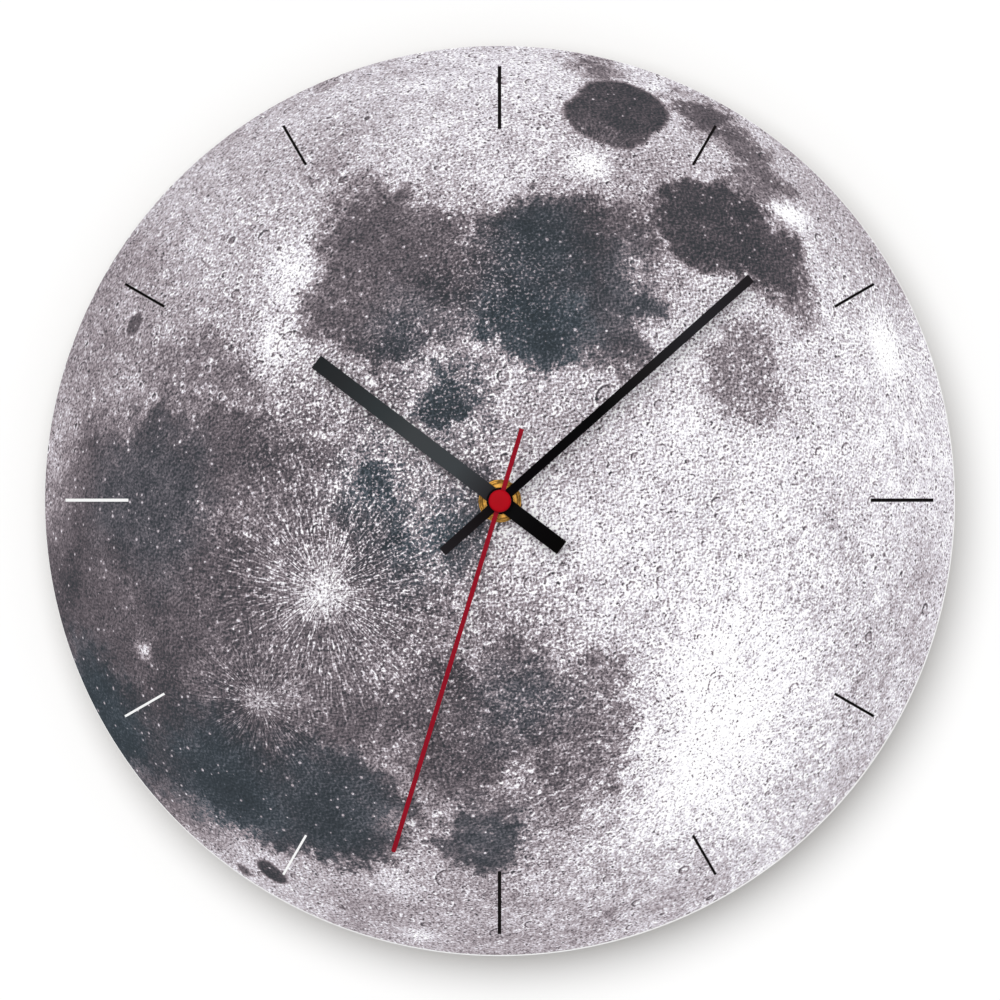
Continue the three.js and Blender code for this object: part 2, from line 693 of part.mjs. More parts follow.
function boss(pivotDiameter, place, back) {
  const bore = pivotDiameter + 2 * RUNNING_GAP;
  const hole = rod(bore, back - CUT_OVERRUN, back + PIVOT_LENGTH + PIVOT_SPARE);
  const column = rod(bore + 2 * BOSS_WALL, back, plateBack + SEAT_GAP);
  return moved(column.subtract(hole), place);
}

function bridgePost(place) {
  const column = rod(POST_DIAMETER, bridgeFront + SEAT_GAP, plateBack + SEAT_GAP);
  return moved(column.add(rod(POST_PIN_DIAMETER, bridgeBack, plateBack)), place);
}

function statorPost(place) {
  const shoulder = rod(STATOR_SHOULDER_DIAMETER, statorFront + SEAT_GAP, plateBack + SEAT_GAP);
  const column = rod(STATOR_POST_DIAMETER, pcbFront + SEAT_GAP, plateBack);
  const pin = rod(POST_PIN_DIAMETER, bridgeBack, plateBack);
  return moved(shoulder.add(column).add(pin), place);
}

function movementCase() {
  const outside = roundedShape(-caseHalfWidth, caseBottom, caseHalfWidth, caseTop, CASE_CORNER_RADIUS);
  const bayFront = caseDepth - BAY_FRONT_WALL;
  const thirdBossBack = centreLayer.front + PINION_OVERHANG + AIR_GAP;
  const rotorBossBack = statorFront + MAGNET_OVERHANG + AIR_GAP;
  const settingBossBack = minuteLayer.front + PINION_OVERHANG + AIR_GAP;
  const behind = -CUT_OVERRUN;
  let body = prism(outside, 0, caseDepth);
  body = body.subtract(
    box([-innerHalfWidth, partitionTop, behind], [innerHalfWidth, innerTop, plateBack]),
  );
  body = body.subtract(box([-innerHalfWidth, bayBottom, behind], [innerHalfWidth, bayTop, bayFront]));
  for (const side of [-1, 1]) {
    const ends = [side * (innerHalfWidth - contactLane), side * innerHalfWidth].sort((a, b) => a - b);
    body = body.subtract(
      box([ends[0], bayTop - CUT_OVERRUN, behind], [ends[1], partitionTop + CUT_OVERRUN, plateBack]),
    );
  }
  const coverSeat = COVER_THICKNESS + SEAT_GAP;
  const beyond = caseHalfWidth + CUT_OVERRUN;
  body = body.subtract(
    box([-beyond, partitionTop, behind], [beyond, caseTop + CUT_OVERRUN, coverSeat]),
  );
  for (const place of posts) body = body.add(bridgePost(place));
  for (const place of arms) body = body.add(statorPost(place));
  body = body.add(boss(THIRD_ARBOR_DIAMETER, third, thirdBossBack));
  body = body.add(boss(ROTOR_ARBOR_DIAMETER, rotor, rotorBossBack));
  body = body.add(boss(SETTING_PIVOT_DIAMETER, setting, settingBossBack));
  const studBack = minuteLayer.back - PINION_OVERHANG;
  body = body.add(moved(rod(MINUTE_STUD_DIAMETER, studBack, plateBack + SEAT_GAP), minuteWheel));
  return body.subtract(drill(clampBore, plateBack, caseDepth, ROUND_SIDES));
}

function hangerLoop() {
  const half = HANGER_WIDTH / 2;
  const top = caseTop + HANGER_HEIGHT;
  const outline = roundedShape(-half, caseTop - CASE_WALL, half, top, HANGER_CORNER_RADIUS, 0);
  const loopHalf = half - HANGER_BAR;
  const seat = top - HANGER_BAR;
  const behind = -CUT_OVERRUN;
  const front = HANGER_THICKNESS + CUT_OVERRUN;
  const loop = box([-loopHalf, caseTop + HANGER_SILL, behind], [loopHalf, seat - NOTCH_DEPTH, front]);
  const notch = box([-NOTCH_WIDTH / 2, caseTop + HANGER_SILL, behind], [NOTCH_WIDTH / 2, seat, front]);
  const plate = prism(outline, 0, HANGER_THICKNESS);
  const behindCase = box([-half, 0, COVER_THICKNESS], [half, caseTop + SEAT_GAP, front]);
  return plate.subtract(loop).subtract(notch).subtract(behindCase);
}

function coverLeg(x, y) {
  const half = LEG_WIDTH / 2;
  const end = COVER_THICKNESS + LEG_LENGTH;
  return box([x - half, y, COVER_THICKNESS / 2], [x + half, y + LEG_THICKNESS, end]);
}

function rearCover() {
  const edge = partitionTop + SEAT_GAP;
  const outline = roundedShape(-caseHalfWidth, edge, caseHalfWidth, caseTop, CASE_CORNER_RADIUS, 0);
  const wellBack = KNOB_RECESS + KNOB_THICKNESS + AIR_GAP;
  const well = rod(wellDiameter + 2 * WELL_WALL, 0, wellBack + WELL_FLOOR, ROUND_SIDES);
  const pocket = rod(wellDiameter, -CUT_OVERRUN, wellBack, ROUND_SIDES);
  const shaftHole = drill(SETTING_SHAFT_DIAMETER + 2 * RUNNING_GAP, 0, wellBack + WELL_FLOOR);
  const upperLegReach = STATOR_ARM_SPACING / 2 + PCB_MARGIN + AIR_GAP + LEG_WIDTH / 2;
  let body = prism(outline, 0, COVER_THICKNESS).add(moved(well, setting)).add(hangerLoop());
  body = body.subtract(moved(pocket, setting)).subtract(moved(shaftHole, setting));
  for (const side of [-1, 1]) {
    body = body.add(coverLeg(rotor.x + side * upperLegReach, innerTop - LEG_THICKNESS - SEAT_GAP));
    body = body.add(coverLeg(setting.x + side * LEG_SPREAD, partitionTop + SEAT_GAP));
  }
  return body;
}

function trainBridge() {
  const low = [bridgeLeft, bridgeBottom, bridgeBack];
  const high = [bridgeRight, bridgeTop, bridgeFront];
  const holes = [
    [SECOND_ARBOR_DIAMETER + 2 * RUNNING_GAP, axis],
    [THIRD_ARBOR_DIAMETER + 2 * RUNNING_GAP, third],
    [ROTOR_ARBOR_DIAMETER + 2 * RUNNING_GAP, rotor],
    [INTERMEDIATE_PIN_DIAMETER + 2 * SEAT_GAP, intermediate],
    ...posts.map((place) => [POST_PIN_DIAMETER + 2 * SEAT_GAP, place]),
  ];
  let body = box(low, high);
  for (const [diameter, place] of holes) {
    body = body.subtract(moved(drill(diameter, bridgeBack, bridgeFront), place));
  }
  return body;
}

// Motor

function stator() {
  const half = STATOR_BAR_WIDTH / 2;
  const armHalf = STATOR_ARM_WIDTH / 2;
  const low = [arms[0].x - armHalf, rotor.y - half, statorBack];
  const high = [arms[1].x + armHalf, rotor.y + half, statorFront];
  let body = box(low, high).add(moved(rod(statorRing, statorBack, statorFront, ROUND_SIDES), rotor));
  for (const arm of arms) {
    const armLow = [arm.x - armHalf, rotor.y - half, statorBack];
    body = body.add(box(armLow, [arm.x + armHalf, arm.y + armHalf, statorFront]));
    const hole = drill(STATOR_POST_DIAMETER + 2 * SEAT_GAP, statorBack, statorFront);
    body = body.subtract(moved(hole, arm));
  }
  return body.subtract(moved(drill(statorBore, statorBack, statorFront, ROUND_SIDES), rotor));
}

function coilCore() {
  const half = STATOR_ARM_WIDTH / 2;
  let body = box(
    [arms[0].x - half, coilY - half, coreBack],
    [arms[1].x + half, coilY + half, coreFront],
  );
  for (const arm of arms) {
    const hole = drill(STATOR_POST_DIAMETER + 2 * SEAT_GAP, coreBack, coreFront);
    body = body.subtract(moved(hole, arm));
  }
  return body;
}

// The coil's round pieces are turned about z, then laid along x on the core.
function alongCore(body) {
  return body.rotate([0, 90, 0]).translate([rotor.x, coilY, coreMiddle]);
}

const bobbinHalf = (STATOR_ARM_SPACING - STATOR_ARM_WIDTH) / 2 - AIR_GAP;
const barrelDiameter = Math.hypot(STATOR_ARM_WIDTH, CORE_THICKNESS) + 2 * BOBBIN_WALL;

function coilBobbin() {
  const barrel = barrelDiameter / 2;
  const flange = flangeDiameter / 2;
  const inner = bobbinHalf - BOBBIN_FLANGE;
  const spool = turned([
    [0, -bobbinHalf],
    [flange, -bobbinHalf],
    [flange, -inner],
    [barrel, -inner],
    [barrel, inner],
    [flange, inner],
    [flange, bobbinHalf],
    [0, bobbinHalf],
  ]);
  const slot = STATOR_ARM_WIDTH / 2 + SEAT_GAP;
  return alongCore(spool).subtract(
    box([arms[0].x, coilY - slot, coreBack - SEAT_GAP], [arms[1].x, coilY + slot, coreFront + SEAT_GAP]),
  );
}

function coilWinding() {
  const half = bobbinHalf - BOBBIN_FLANGE - SEAT_GAP;
  return alongCore(ring(WINDING_DIAMETER, barrelDiameter + 2 * SEAT_GAP, -half, half));
}

// Electronics and battery

function circuitBoard() {
  const low = [arms[0].x - PCB_MARGIN, coilY - PCB_HEIGHT / 2, bridgeBack];
  const high = [arms[1].x + PCB_MARGIN, coilY + PCB_HEIGHT / 2, pcbFront];
  let body = box(low, high);
  for (const arm of arms) {
    const hole = drill(POST_PIN_DIAMETER + 2 * SEAT_GAP, bridgeBack, pcbFront);
    body = body.subtract(moved(hole, arm));
  }
  return body;
}

function clockChip() {
  const back = pcbFront + SEAT_GAP;
  const dome = turned([
    [0, back],
    [CHIP_DIAMETER / 2, back],
    [CHIP_DIAMETER / 2, back + CHIP_HEIGHT / 2],
    [CHIP_DIAMETER / 4, back + CHIP_HEIGHT],
    [0, back + CHIP_HEIGHT],
  ], SMALL_SIDES);
  return dome.translate([rotor.x + CHIP_OFFSET, coilY, 0]);
}

function quartzCrystal() {
  const can = rod(CRYSTAL_DIAMETER, -CRYSTAL_LENGTH / 2, CRYSTAL_LENGTH / 2);
  const height = pcbFront + SEAT_GAP + CRYSTAL_DIAMETER / 2;
  return can.rotate([0, 90, 0]).translate([rotor.x + CRYSTAL_OFFSET, coilY, height]);
}

const contactInner = innerHalfWidth - SEAT_GAP - CONTACT_THICKNESS;
const batteryTip = contactInner - SEAT_GAP;
const batteryEnd = batteryTip - BATTERY_LENGTH;

function aaBattery() {
  const radius = BATTERY_DIAMETER / 2;
  const nub = BATTERY_NUB_DIAMETER / 2;
  const shoulder = batteryTip - BATTERY_NUB_LENGTH;
  const cell = turned([
    [0, batteryEnd],
    [radius - BATTERY_EDGE, batteryEnd],
    [radius, batteryEnd + BATTERY_EDGE],
    [radius, shoulder - BATTERY_EDGE],
    [radius - BATTERY_EDGE, shoulder],
    [nub, shoulder],
    [nub, batteryTip],
    [0, batteryTip],
  ]);
  return cell.rotate([0, 90, 0]).translate([0, batteryY, batteryZ]);
}

// A contact plate at one end of the cell, with a riser along the wall to a tab on the circuit board.
function contact(side) {
  const half = CONTACT_WIDTH / 2;
  const outer = innerHalfWidth - SEAT_GAP;
  const tabBack = pcbFront + SEAT_GAP;
  const tabBottom = coilY - PCB_HEIGHT / 2;
  const tabTop = tabBottom + CONTACT_TAB_WIDTH;
  const boardEdge = side * rotor.x + STATOR_ARM_SPACING / 2 + PCB_MARGIN;
  const pieces = [
    [[contactInner, batteryY - half, batteryZ - half], [outer, batteryY + half, batteryZ + half]],
    [[contactInner, batteryY - half, tabBack], [outer, tabTop, tabBack + CONTACT_RISER_WIDTH]],
    [[boardEdge - CONTACT_TAB_OVERLAP, tabBottom, tabBack], [outer, tabTop, tabBack + CONTACT_THICKNESS]],
  ];
  const bodies = pieces.map(([low, high]) => {
    const ends = [side * low[0], side * high[0]].sort((a, b) => a - b);
    return box([ends[0], low[1], low[2]], [ends[1], high[1], high[2]]);
  });
  return bodies.reduce((joined, body) => joined.add(body));
}

// The negative contact also has a tongue, folded over from its upper edge, that presses on the cell.
function negativeContact() {
  const half = CONTACT_WIDTH / 2 - CONTACT_THICKNESS / 2;
  const wallX = -contactInner - CONTACT_THICKNESS / 2;
  const cellX = batteryEnd - SEAT_GAP - CONTACT_THICKNESS / 2;
  const line = [
    new THREE.Vector2(wallX, batteryZ + half),
    new THREE.Vector2(cellX, batteryZ + SPRING_FLAT / 2),
    new THREE.Vector2(cellX, batteryZ - SPRING_FLAT / 2),
    new THREE.Vector2((wallX + cellX) / 2, batteryZ - half),
  ];
  const tongue = prism(stripShape(line, CONTACT_THICKNESS), -SPRING_WIDTH / 2, SPRING_WIDTH / 2);
  return contact(-1).add(tongue.rotate([90, 0, 0]).translate([0, batteryY, 0]));
}

// Materials

function finish(color, roughness, metalness) {
  return new THREE.MeshStandardMaterial({ color, roughness, metalness });
}

const BLACK_PLASTIC = [0x1d1e20, 0.5, 0];
const WHITE_PLASTIC = [0xe6e4de, 0.45, 0];
const BRASS = [0xbd8d35, 0.3, 1];
const STEEL = [0xb9bcc0, 0.3, 1];
const BLACK_PAINT = [0x2b2d30, 0.4, 0];
const RED_PAINT = [0xad1c25, 0.35, 0];

// Assembly

function piece(name, body, look) {
  const mesh = new THREE.Mesh(geometryOf(body), finish(...look));
  mesh.name = name;
  return mesh;
}

function assembly(place, turn, ...pieces) {
  const group = new THREE.Group();
  group.position.set(place.x, place.y, 0);
  group.rotation.z = -THREE.MathUtils.degToRad(turn);
  group.add(...pieces);
  return group;
}

const clock = new THREE.Group();
clock.add(
  piece("dial_disc", dialDisc(), [0xf2f1ec, 0.6, 0]),
  piece("printed_face", printedFace(), [0x9a959a, 0.5, 0]),
  piece("rubber_gasket", rubberGasket(), [0x202020, 0.9, 0]),
  piece("brass_washer", brassWasher(), BRASS),
  piece("hex_nut", hexNut(), BRASS),
  piece("threaded_bush", threadedBush(), BRASS),
  piece("movement_case", movementCase(), BLACK_PLASTIC),
  piece("rear_cover", rearCover(), BLACK_PLASTIC),
  piece("train_bridge", trainBridge(), WHITE_PLASTIC),
  piece("stator", stator(), STEEL),
  piece("coil_core", coilCore(), STEEL),
  piece("coil_bobbin", coilBobbin(), WHITE_PLASTIC),
  piece("coil_winding", coilWinding(), [0xa85a2a, 0.4, 1]),
  piece("circuit_board", circuitBoard(), [0x2f5a3c, 0.6, 0]),
  piece("clock_chip", clockChip(), [0x151515, 0.4, 0]),
  piece("quartz_crystal", quartzCrystal(), STEEL),
  piece("aa_battery", aaBattery(), [0x3b4a58, 0.35, 0.6]),
  piece("positive_contact", contact(1), STEEL),
  piece("negative_contact", negativeContact(), STEEL),
);
clock.add(
  assembly(axis, HOUR_ANGLE, piece("hour_hand", hourHand(), BLACK_PAINT)),
  assembly(axis, MINUTE_ANGLE, piece("minute_hand", minuteHand(), BLACK_PAINT)),
  assembly(
    axis,
    SECOND_ANGLE,
    piece("second_hand", secondHand(), RED_PAINT),
    piece("second_hand_tube", secondHandTube(), BRASS),
    piece("second_hand_cap", secondHandCap(), RED_PAINT),
  ),
  assembly(
    axis,
    0,
    piece("hour_wheel", hourWheelBody(), WHITE_PLASTIC),
    piece("cannon_pinion", cannonPinion(), BRASS),
    piece("centre_wheel", centreWheel(), WHITE_PLASTIC),
    piece("second_wheel", secondWheel(), WHITE_PLASTIC),
    piece("second_arbor", rod(SECOND_ARBOR_DIAMETER, bridgeBack, secondTubeFront), STEEL),
  ),
  assembly(third, 0, piece("third_wheel", thirdWheel(), WHITE_PLASTIC)),
  assembly(
    intermediate,
    0,
    piece("intermediate_wheel", intermediateWheelBody(), WHITE_PLASTIC),
    piece("intermediate_pin", intermediatePin(), STEEL),
  ),
  assembly(
    rotor,
    0,
    piece("rotor_pinion", rotorPinion(), WHITE_PLASTIC),
    piece("rotor_magnet", rotorMagnet(), [0x4a4c50, 0.5, 1]),
  ),
  assembly(minuteWheel, 0, piece("minute_wheel", minuteWheelBody(), WHITE_PLASTIC)),
  assembly(setting, 0, piece("setting_knob", settingKnob(), BLACK_PLASTIC)),
);
clock.rotation.x = Math.PI / 2;

const model = new THREE.Group();
model.add(clock);
export default model;
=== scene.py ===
import json
import math

import bmesh
import bpy
from mathutils import Matrix, Vector


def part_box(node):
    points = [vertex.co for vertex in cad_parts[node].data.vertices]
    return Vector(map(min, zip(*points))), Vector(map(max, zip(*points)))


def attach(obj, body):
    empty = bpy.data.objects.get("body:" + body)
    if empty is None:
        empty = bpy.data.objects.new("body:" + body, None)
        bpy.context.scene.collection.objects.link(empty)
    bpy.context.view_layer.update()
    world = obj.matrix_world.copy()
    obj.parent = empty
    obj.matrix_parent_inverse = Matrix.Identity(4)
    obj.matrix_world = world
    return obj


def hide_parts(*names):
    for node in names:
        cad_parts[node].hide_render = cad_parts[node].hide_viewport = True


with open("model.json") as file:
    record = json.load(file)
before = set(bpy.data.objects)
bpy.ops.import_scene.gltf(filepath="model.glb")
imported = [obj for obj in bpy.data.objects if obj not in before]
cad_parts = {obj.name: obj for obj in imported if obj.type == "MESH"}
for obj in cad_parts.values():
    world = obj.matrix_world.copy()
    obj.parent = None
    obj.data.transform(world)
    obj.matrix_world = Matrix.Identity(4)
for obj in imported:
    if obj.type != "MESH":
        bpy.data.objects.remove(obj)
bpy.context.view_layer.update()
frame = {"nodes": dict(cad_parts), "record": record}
nodes = frame["nodes"]
scene = bpy.context.scene
scene.view_settings.view_transform = "Standard"

# Sizes, in metres like everything here
MM = 0.001
ROUND = 96
FINE_ROUND = 384

# The photograph's frame
PHOTO_SIZE = 1000
PHOTO_DIAL_CENTRE = (499.9, 501.0)
PHOTO_DIAL_RADIUS = 455.2
CAMERA_DISTANCE = 2.0
CAMERA_REACH = 100.0
SENSOR = 36.0

# How the Moon is turned and enlarged on the print
MOON_OVER_DIAL = 1.05
MOON_LATITUDE = -1.0
MOON_LONGITUDE = 2.0
MOON_TURN = 53.5
PRINT_LIGHT = (-0.75, 0.66, 0.0)

# Grey ground round the seas, with soft shores: latitude, longitude, radius in degrees, darkness
GREY_GROUND = [
    (33, -19, 19, 0.42),
    (10, -24, 24, 0.62),
    (14, 0, 13, 0.48),
    (24, 19, 12, 0.48),
    (0, 16, 10, 0.22),
    (26, -46, 29, 0.82),
    (-16, -26, 21, 0.52),
    (8, 46, 13, 0.36),
    (-12, 44, 14, 0.10),
    (55, -40, 26, 0.38),
    (56, 30, 18, 0.17),
    (-24, -56, 20, 0.28),
    (-42, -46, 20, 0.18),
    (-14, 72, 16, 0.22),
    (-66, 20, 22, 0.12),
]

# Seas: latitude, longitude, radius in degrees, darkness
SEAS = [
    (38, -26, 8, 0.84),
    (30, -15, 7, 0.80),
    (20, -4.7, 4, 0.70),
    (30, -32, 8, 0.80),
    (24, -22, 9, 0.66),
    (37, -12, 9, 0.56),
    (24, -9, 5, 0.74),
    (44, -33, 4.4, 0.70),
    (30, 20, 10, 0.76),
    (27, 14, 9.5, 0.76),
    (20, 13, 5, 0.84),
    (19, 23, 6, 0.86),
    (16, 18, 5, 0.72),
    (8, 23, 7, 0.98),
    (11, 32, 9, 0.96),
    (3, 32, 5, 0.86),
    (18, 31, 6, 0.88),
    (1, 26, 5, 0.86),
    (5, 40, 5, 0.78),
    (10, 10, 5, 0.60),
    (-2, 61, 5, 0.70),
    (-2, 50, 8, 0.96),
    (-9, 52, 6, 0.90),
    (-15, 49, 4, 0.56),
    (-15.2, 35, 6, 0.52),
    (57, -25, 6, 0.42),
    (10.9, 8.0, 4.2, 1.0),
    (12.5, -3.2, 3.0, 1.05),
    (6.3, -8.6, 3.2, 1.05),
    (18, -2, 4, 0.62),
    (3, -1, 5, 0.62),
    (10, -8, 6, 0.80),
    (4, -13, 6, 0.78),
    (0, -5, 5, 0.72),
    (8, -32, 9, 0.76),
    (-9, -22, 7, 0.82),
    (-16, -28, 7, 0.80),
    (-21, -32, 5, 0.74),
    (-3, -32, 7, 0.80),
    (-19, -17, 8, 0.80),
    (-23, -11, 5, 0.74),
    (-14, -12, 5, 0.70),
    (-24.4, -38.6, 6.4, 0.92),
    (-31, -27, 4, 0.66),
    (-28, -19, 7, 0.80),
    (-8, -45, 10, 0.96),
    (-3, -53, 5, 0.90),
    (3, -46, 10, 0.96),
    (3, -54, 6, 1.0),
    (14, -54, 10, 0.96),
    (22, -64, 10, 0.98),
    (27, -50, 9, 0.80),
    (36, -62, 10, 0.84),
    (44, -54, 8, 0.76),
    (20, -38, 8, 0.80),
    (38, 27, 4, 0.48),
    (45, 30, 3, 0.42),
    (1, 66, 4, 0.72),
    (7, 68, 5, 0.72),
    (22, 68, 3, 0.60),
    (13, 82, 6, 0.50),
    (-44, -54, 4, 0.46),
]

# Bluer ground inside the seas: latitude, longitude, radius in degrees, strength
BLUE_GROUND = [
    (8, 23, 8, 0.9),
    (14, 30, 7, 0.7),
    (1, 33, 5, 0.5),
    (20, 13, 5, 0.5),
    (11, 8, 5, 0.9),
    (12, -4, 5, 1.0),
    (3, -6, 6, 1.0),
    (36, -30, 9, 0.35),
    (-6, -46, 9, 0.65),
    (5, -54, 10, 0.8),
    (22, -66, 9, 0.9),
    (-25, -38, 6, 0.5),
    (-18, -16, 5, 0.5),
]

# Dark floors with clear edges: latitude, longitude, radius in degrees, darkness
DARK_FLOORS = [
    (16.5, 56.6, 5.6, 0.84),
    (16.0, 60.5, 5.8, 0.92),
    (55.4, -14.2, 1.7, 0.80),
    (-5.1, -63.4, 2.0, 0.95),
    (-2.0, -68.1, 1.0, 0.70),
    (-14.3, -63.2, 0.7, 0.66),
    (-11.5, -65.3, 0.5, 0.66),
    (-13.6, -48.8, 0.6, 0.90),
    (53.6, 56.5, 1.9, 0.30),
]

# Ground strewn with bright specks: latitude, longitude, radius in degrees, strength
SPARKLING_GROUND = [
    (8, -4, 15, 1.0),
    (14, 6, 10, 0.9),
    (22, -4, 9, 0.8),
    (-3, -14, 12, 0.8),
    (-16, -20, 12, 0.5),
    (15, 23, 8, 0.8),
]

# Ray craters: latitude, longitude, radius of the halo and the streaks in degrees, light of each
RAYS = [
    (9.6, -20.1, 5, 26, 0.70, 0.90),
    (8.1, -38.0, 3.5, 15, 0.42, 0.70),
    (23.7, -47.4, 2.0, 7, 0.95, 0.30),
    (-40.0, -9.0, 26, 60, 0.40, 0.40),
    (14.7, 46.4, 4, 12, 0.70, 0.50),
    (-7.7, 60.1, 4, 9, 0.75, 0.40),
    (-27.6, 58.7, 6, 26, 0.50, 0.50),
    (14.5, 9.1, 2, 5, 0.55, 0.25),
    (33.9, 1.2, 6, 10, 0.36, 0.20),
    (20.0, -3.0, 7, 9, 0.34, 0.20),
    (-24.5, -63.7, 3, 10, 0.35, 0.25),
    (38, 10, 6, 8, 0.40, 0.20),
    (50, -54, 13, 4, 0.36, 0.10),
    (-14, -42, 5, 3, 0.50, 0.20),
    (-18, -52, 6, 3, 0.26, 0.10),
]

# Crater rims: latitude, longitude, diameter in degrees
RIMS = [
    (55.4, -14.2, 3.7),
    (29.7, -4.0, 2.7),
    (33.9, 1.2, 1.8),
    (30.7, 1.5, 1.3),
    (14.5, -11.3, 2.0),
    (-9.2, -1.8, 5.0),
    (-13.4, -2.8, 3.9),
    (-18.2, -1.9, 3.2),
    (-11.4, 26.4, 3.3),
    (-13.2, 24.0, 3.2),
    (31.8, 29.9, 3.1),
    (-18.1, -38.8, 3.4),
    (-58.4, -14.4, 7.4),
    (-43.3, -11.4, 2.8),
    (-49.5, -21.7, 4.8),
    (-8.9, 61.1, 4.3),
    (-25.3, 60.4, 5.8),
    (27.7, 55.5, 4.1),
    (46.7, 44.4, 2.9),
    (46.7, 39.1, 2.3),
    (53.6, 56.5, 4.1),
    (50.2, 17.4, 2.9),
    (44.3, 16.3, 2.2),
    (-13.6, -48.8, 1.4),
    (-20.7, -22.2, 2.0),
    (-29.9, -13.5, 3.2),
    (21.3, 46.0, 2.1),
    (5.6, 46.5, 1.8),
    (15.4, 23.7, 1.4),
]

# Print colours along the tone, as the sheet shows them in sRGB
PRINT_TONES = [
    (0.00, (18, 25, 31)),
    (0.18, (46, 46, 52)),
    (0.30, (82, 74, 80)),
    (0.42, (108, 100, 106)),
    (0.52, (133, 123, 129)),
    (0.65, (167, 157, 163)),
    (0.77, (196, 189, 196)),
    (0.90, (230, 227, 236)),
    (1.00, (255, 255, 255)),
]

# Coarse and fine noise that roughens the outlines of places: scale, detail, roughness
DRIFT_NOISE = (4.5, 6.0, 0.66)
FRAY_NOISE = (24.0, 4.0, 0.8)

# How far each of the two shifts a place, on a globe of radius 1
SHORE_SHIFT = (0.26, 0.18)
FLOOR_SHIFT = (0.05, 0.012)

# Half the width of the places' soft edges on that globe
GREY_EDGE = 0.16
SEA_EDGE = 0.038
FLOOR_EDGE = 0.010
BLUE_EDGE = 0.08
SPARKLE_EDGE = 0.12

# What lightens, darkens and mottles the ground
RAY_LIGHT = 0.8
SPARKLE_SHADE = 0.08
MOTTLE_NOISE = (8.0, 7.0, 0.74)
PLAIN_MOTTLE = 0.85
SPARKLE_MOTTLE = 0.50

# The tones that a range of darkness is printed in
SHADE_RANGE = (-0.4, 1.0)
TONE_RANGE = (1.11, 0.152)
BLUE_TINT = (0.60, 1.0, 1.08, 1.0)
BLUE_TONES = (0.55, 0.28)

# Strength of each fine detail at a few darknesses of the ground: darkness, strength
RELIEF_GAIN = [(0.0, 1.10), (0.35, 1.15), (0.6, 0.85), (0.85, 0.60)]
PIT_DEPTH = [(0.0, 0.56), (0.35, 0.46), (0.6, 0.24), (0.85, 0.10)]
SPARK_GAIN = [(0.0, 0.10), (0.35, 0.16), (0.6, 0.12), (0.85, 0.12)]
DOT_GAIN = [(0.25, 0.0), (0.6, 0.52)]
RIM_GAIN = [(0.0, 0.14), (0.5, 0.30), (0.8, 0.08)]
SHADOW_DEPTH = [(0.0, 0.50), (0.5, 0.28), (0.9, 0.08)]

# Detail fades toward the limb: heights of the globe where it is weakest and full, and the weakest
LIMB_HEIGHTS = (0.35, 0.9)
LIMB_DETAIL = 0.6

# Relief and grain: scale, detail, roughness of the noise, and the ranges of it that show
RELIEF_NOISE = (170.0, 2.0, 0.6)
RELIEF_STEP = 0.0022
GRAIN_NOISE = (190.0, 1.0)
PIT_GRAIN = (0.40, 0.30)
SPARK_GRAIN = (0.55, 0.68)
SPARKLE_SPARKS = 0.36

# Bright dots on the seas: cells across the globe, edge of a dot, share of the cells that have one
DOT_SCALE = 64.0
DOT_EDGE = (0.29, 0.18)
DOT_SHARE = 0.52

# Scattered craters: cells across the globe, share of the cells that have one
CRATER_SCALES = [(64.0, 0.8), (36.0, 0.5), (18.0, 0.25), (9.0, 0.12)]
CRATER_RIM = 0.0028
CRATER_RADIUS = 0.12
CRATER_SPREAD = 0.24
CRATER_SHADING = (0.1, -0.7)

# The wall's shadow inside a scattered crater, in widths of its rim
SHADOW_INSET = 1.4
SHADOW_WIDTH = 1.2

# Rims of the listed craters
RIM_WIDTH = 0.005
RIM_LIGHT = 0.13

# Dashes of the ray craters: how many around and outward, and the range of the noise that shows
DASHES_AROUND = 40.0
DASHES_OUTWARD = 36.0
DASH_GRAIN = (0.48, 0.68)

# The range in which most of a noise lies, and the middle of it
NOISE_RANGE = (0.3, 0.7)
NOISE_MIDDLE = 0.5

# A Mix node's colour sockets
MIX_FIRST = 6
MIX_SECOND = 7
MIX_RESULT = 2


# Node helpers


def linear(colour):
    """An sRGB colour of 0 to 255 as the linear colour that a shader socket holds."""
    shares = [channel / 255 for channel in colour]
    low = [share / 12.92 for share in shares]
    high = [((share + 0.055) / 1.055) ** 2.4 for share in shares]
    return (*[l if s <= 0.04045 else h for s, l, h in zip(shares, low, high)], 1.0)


def toned(colour, factor):
    """A colour made darker or lighter."""
    return [factor * channel for channel in colour]


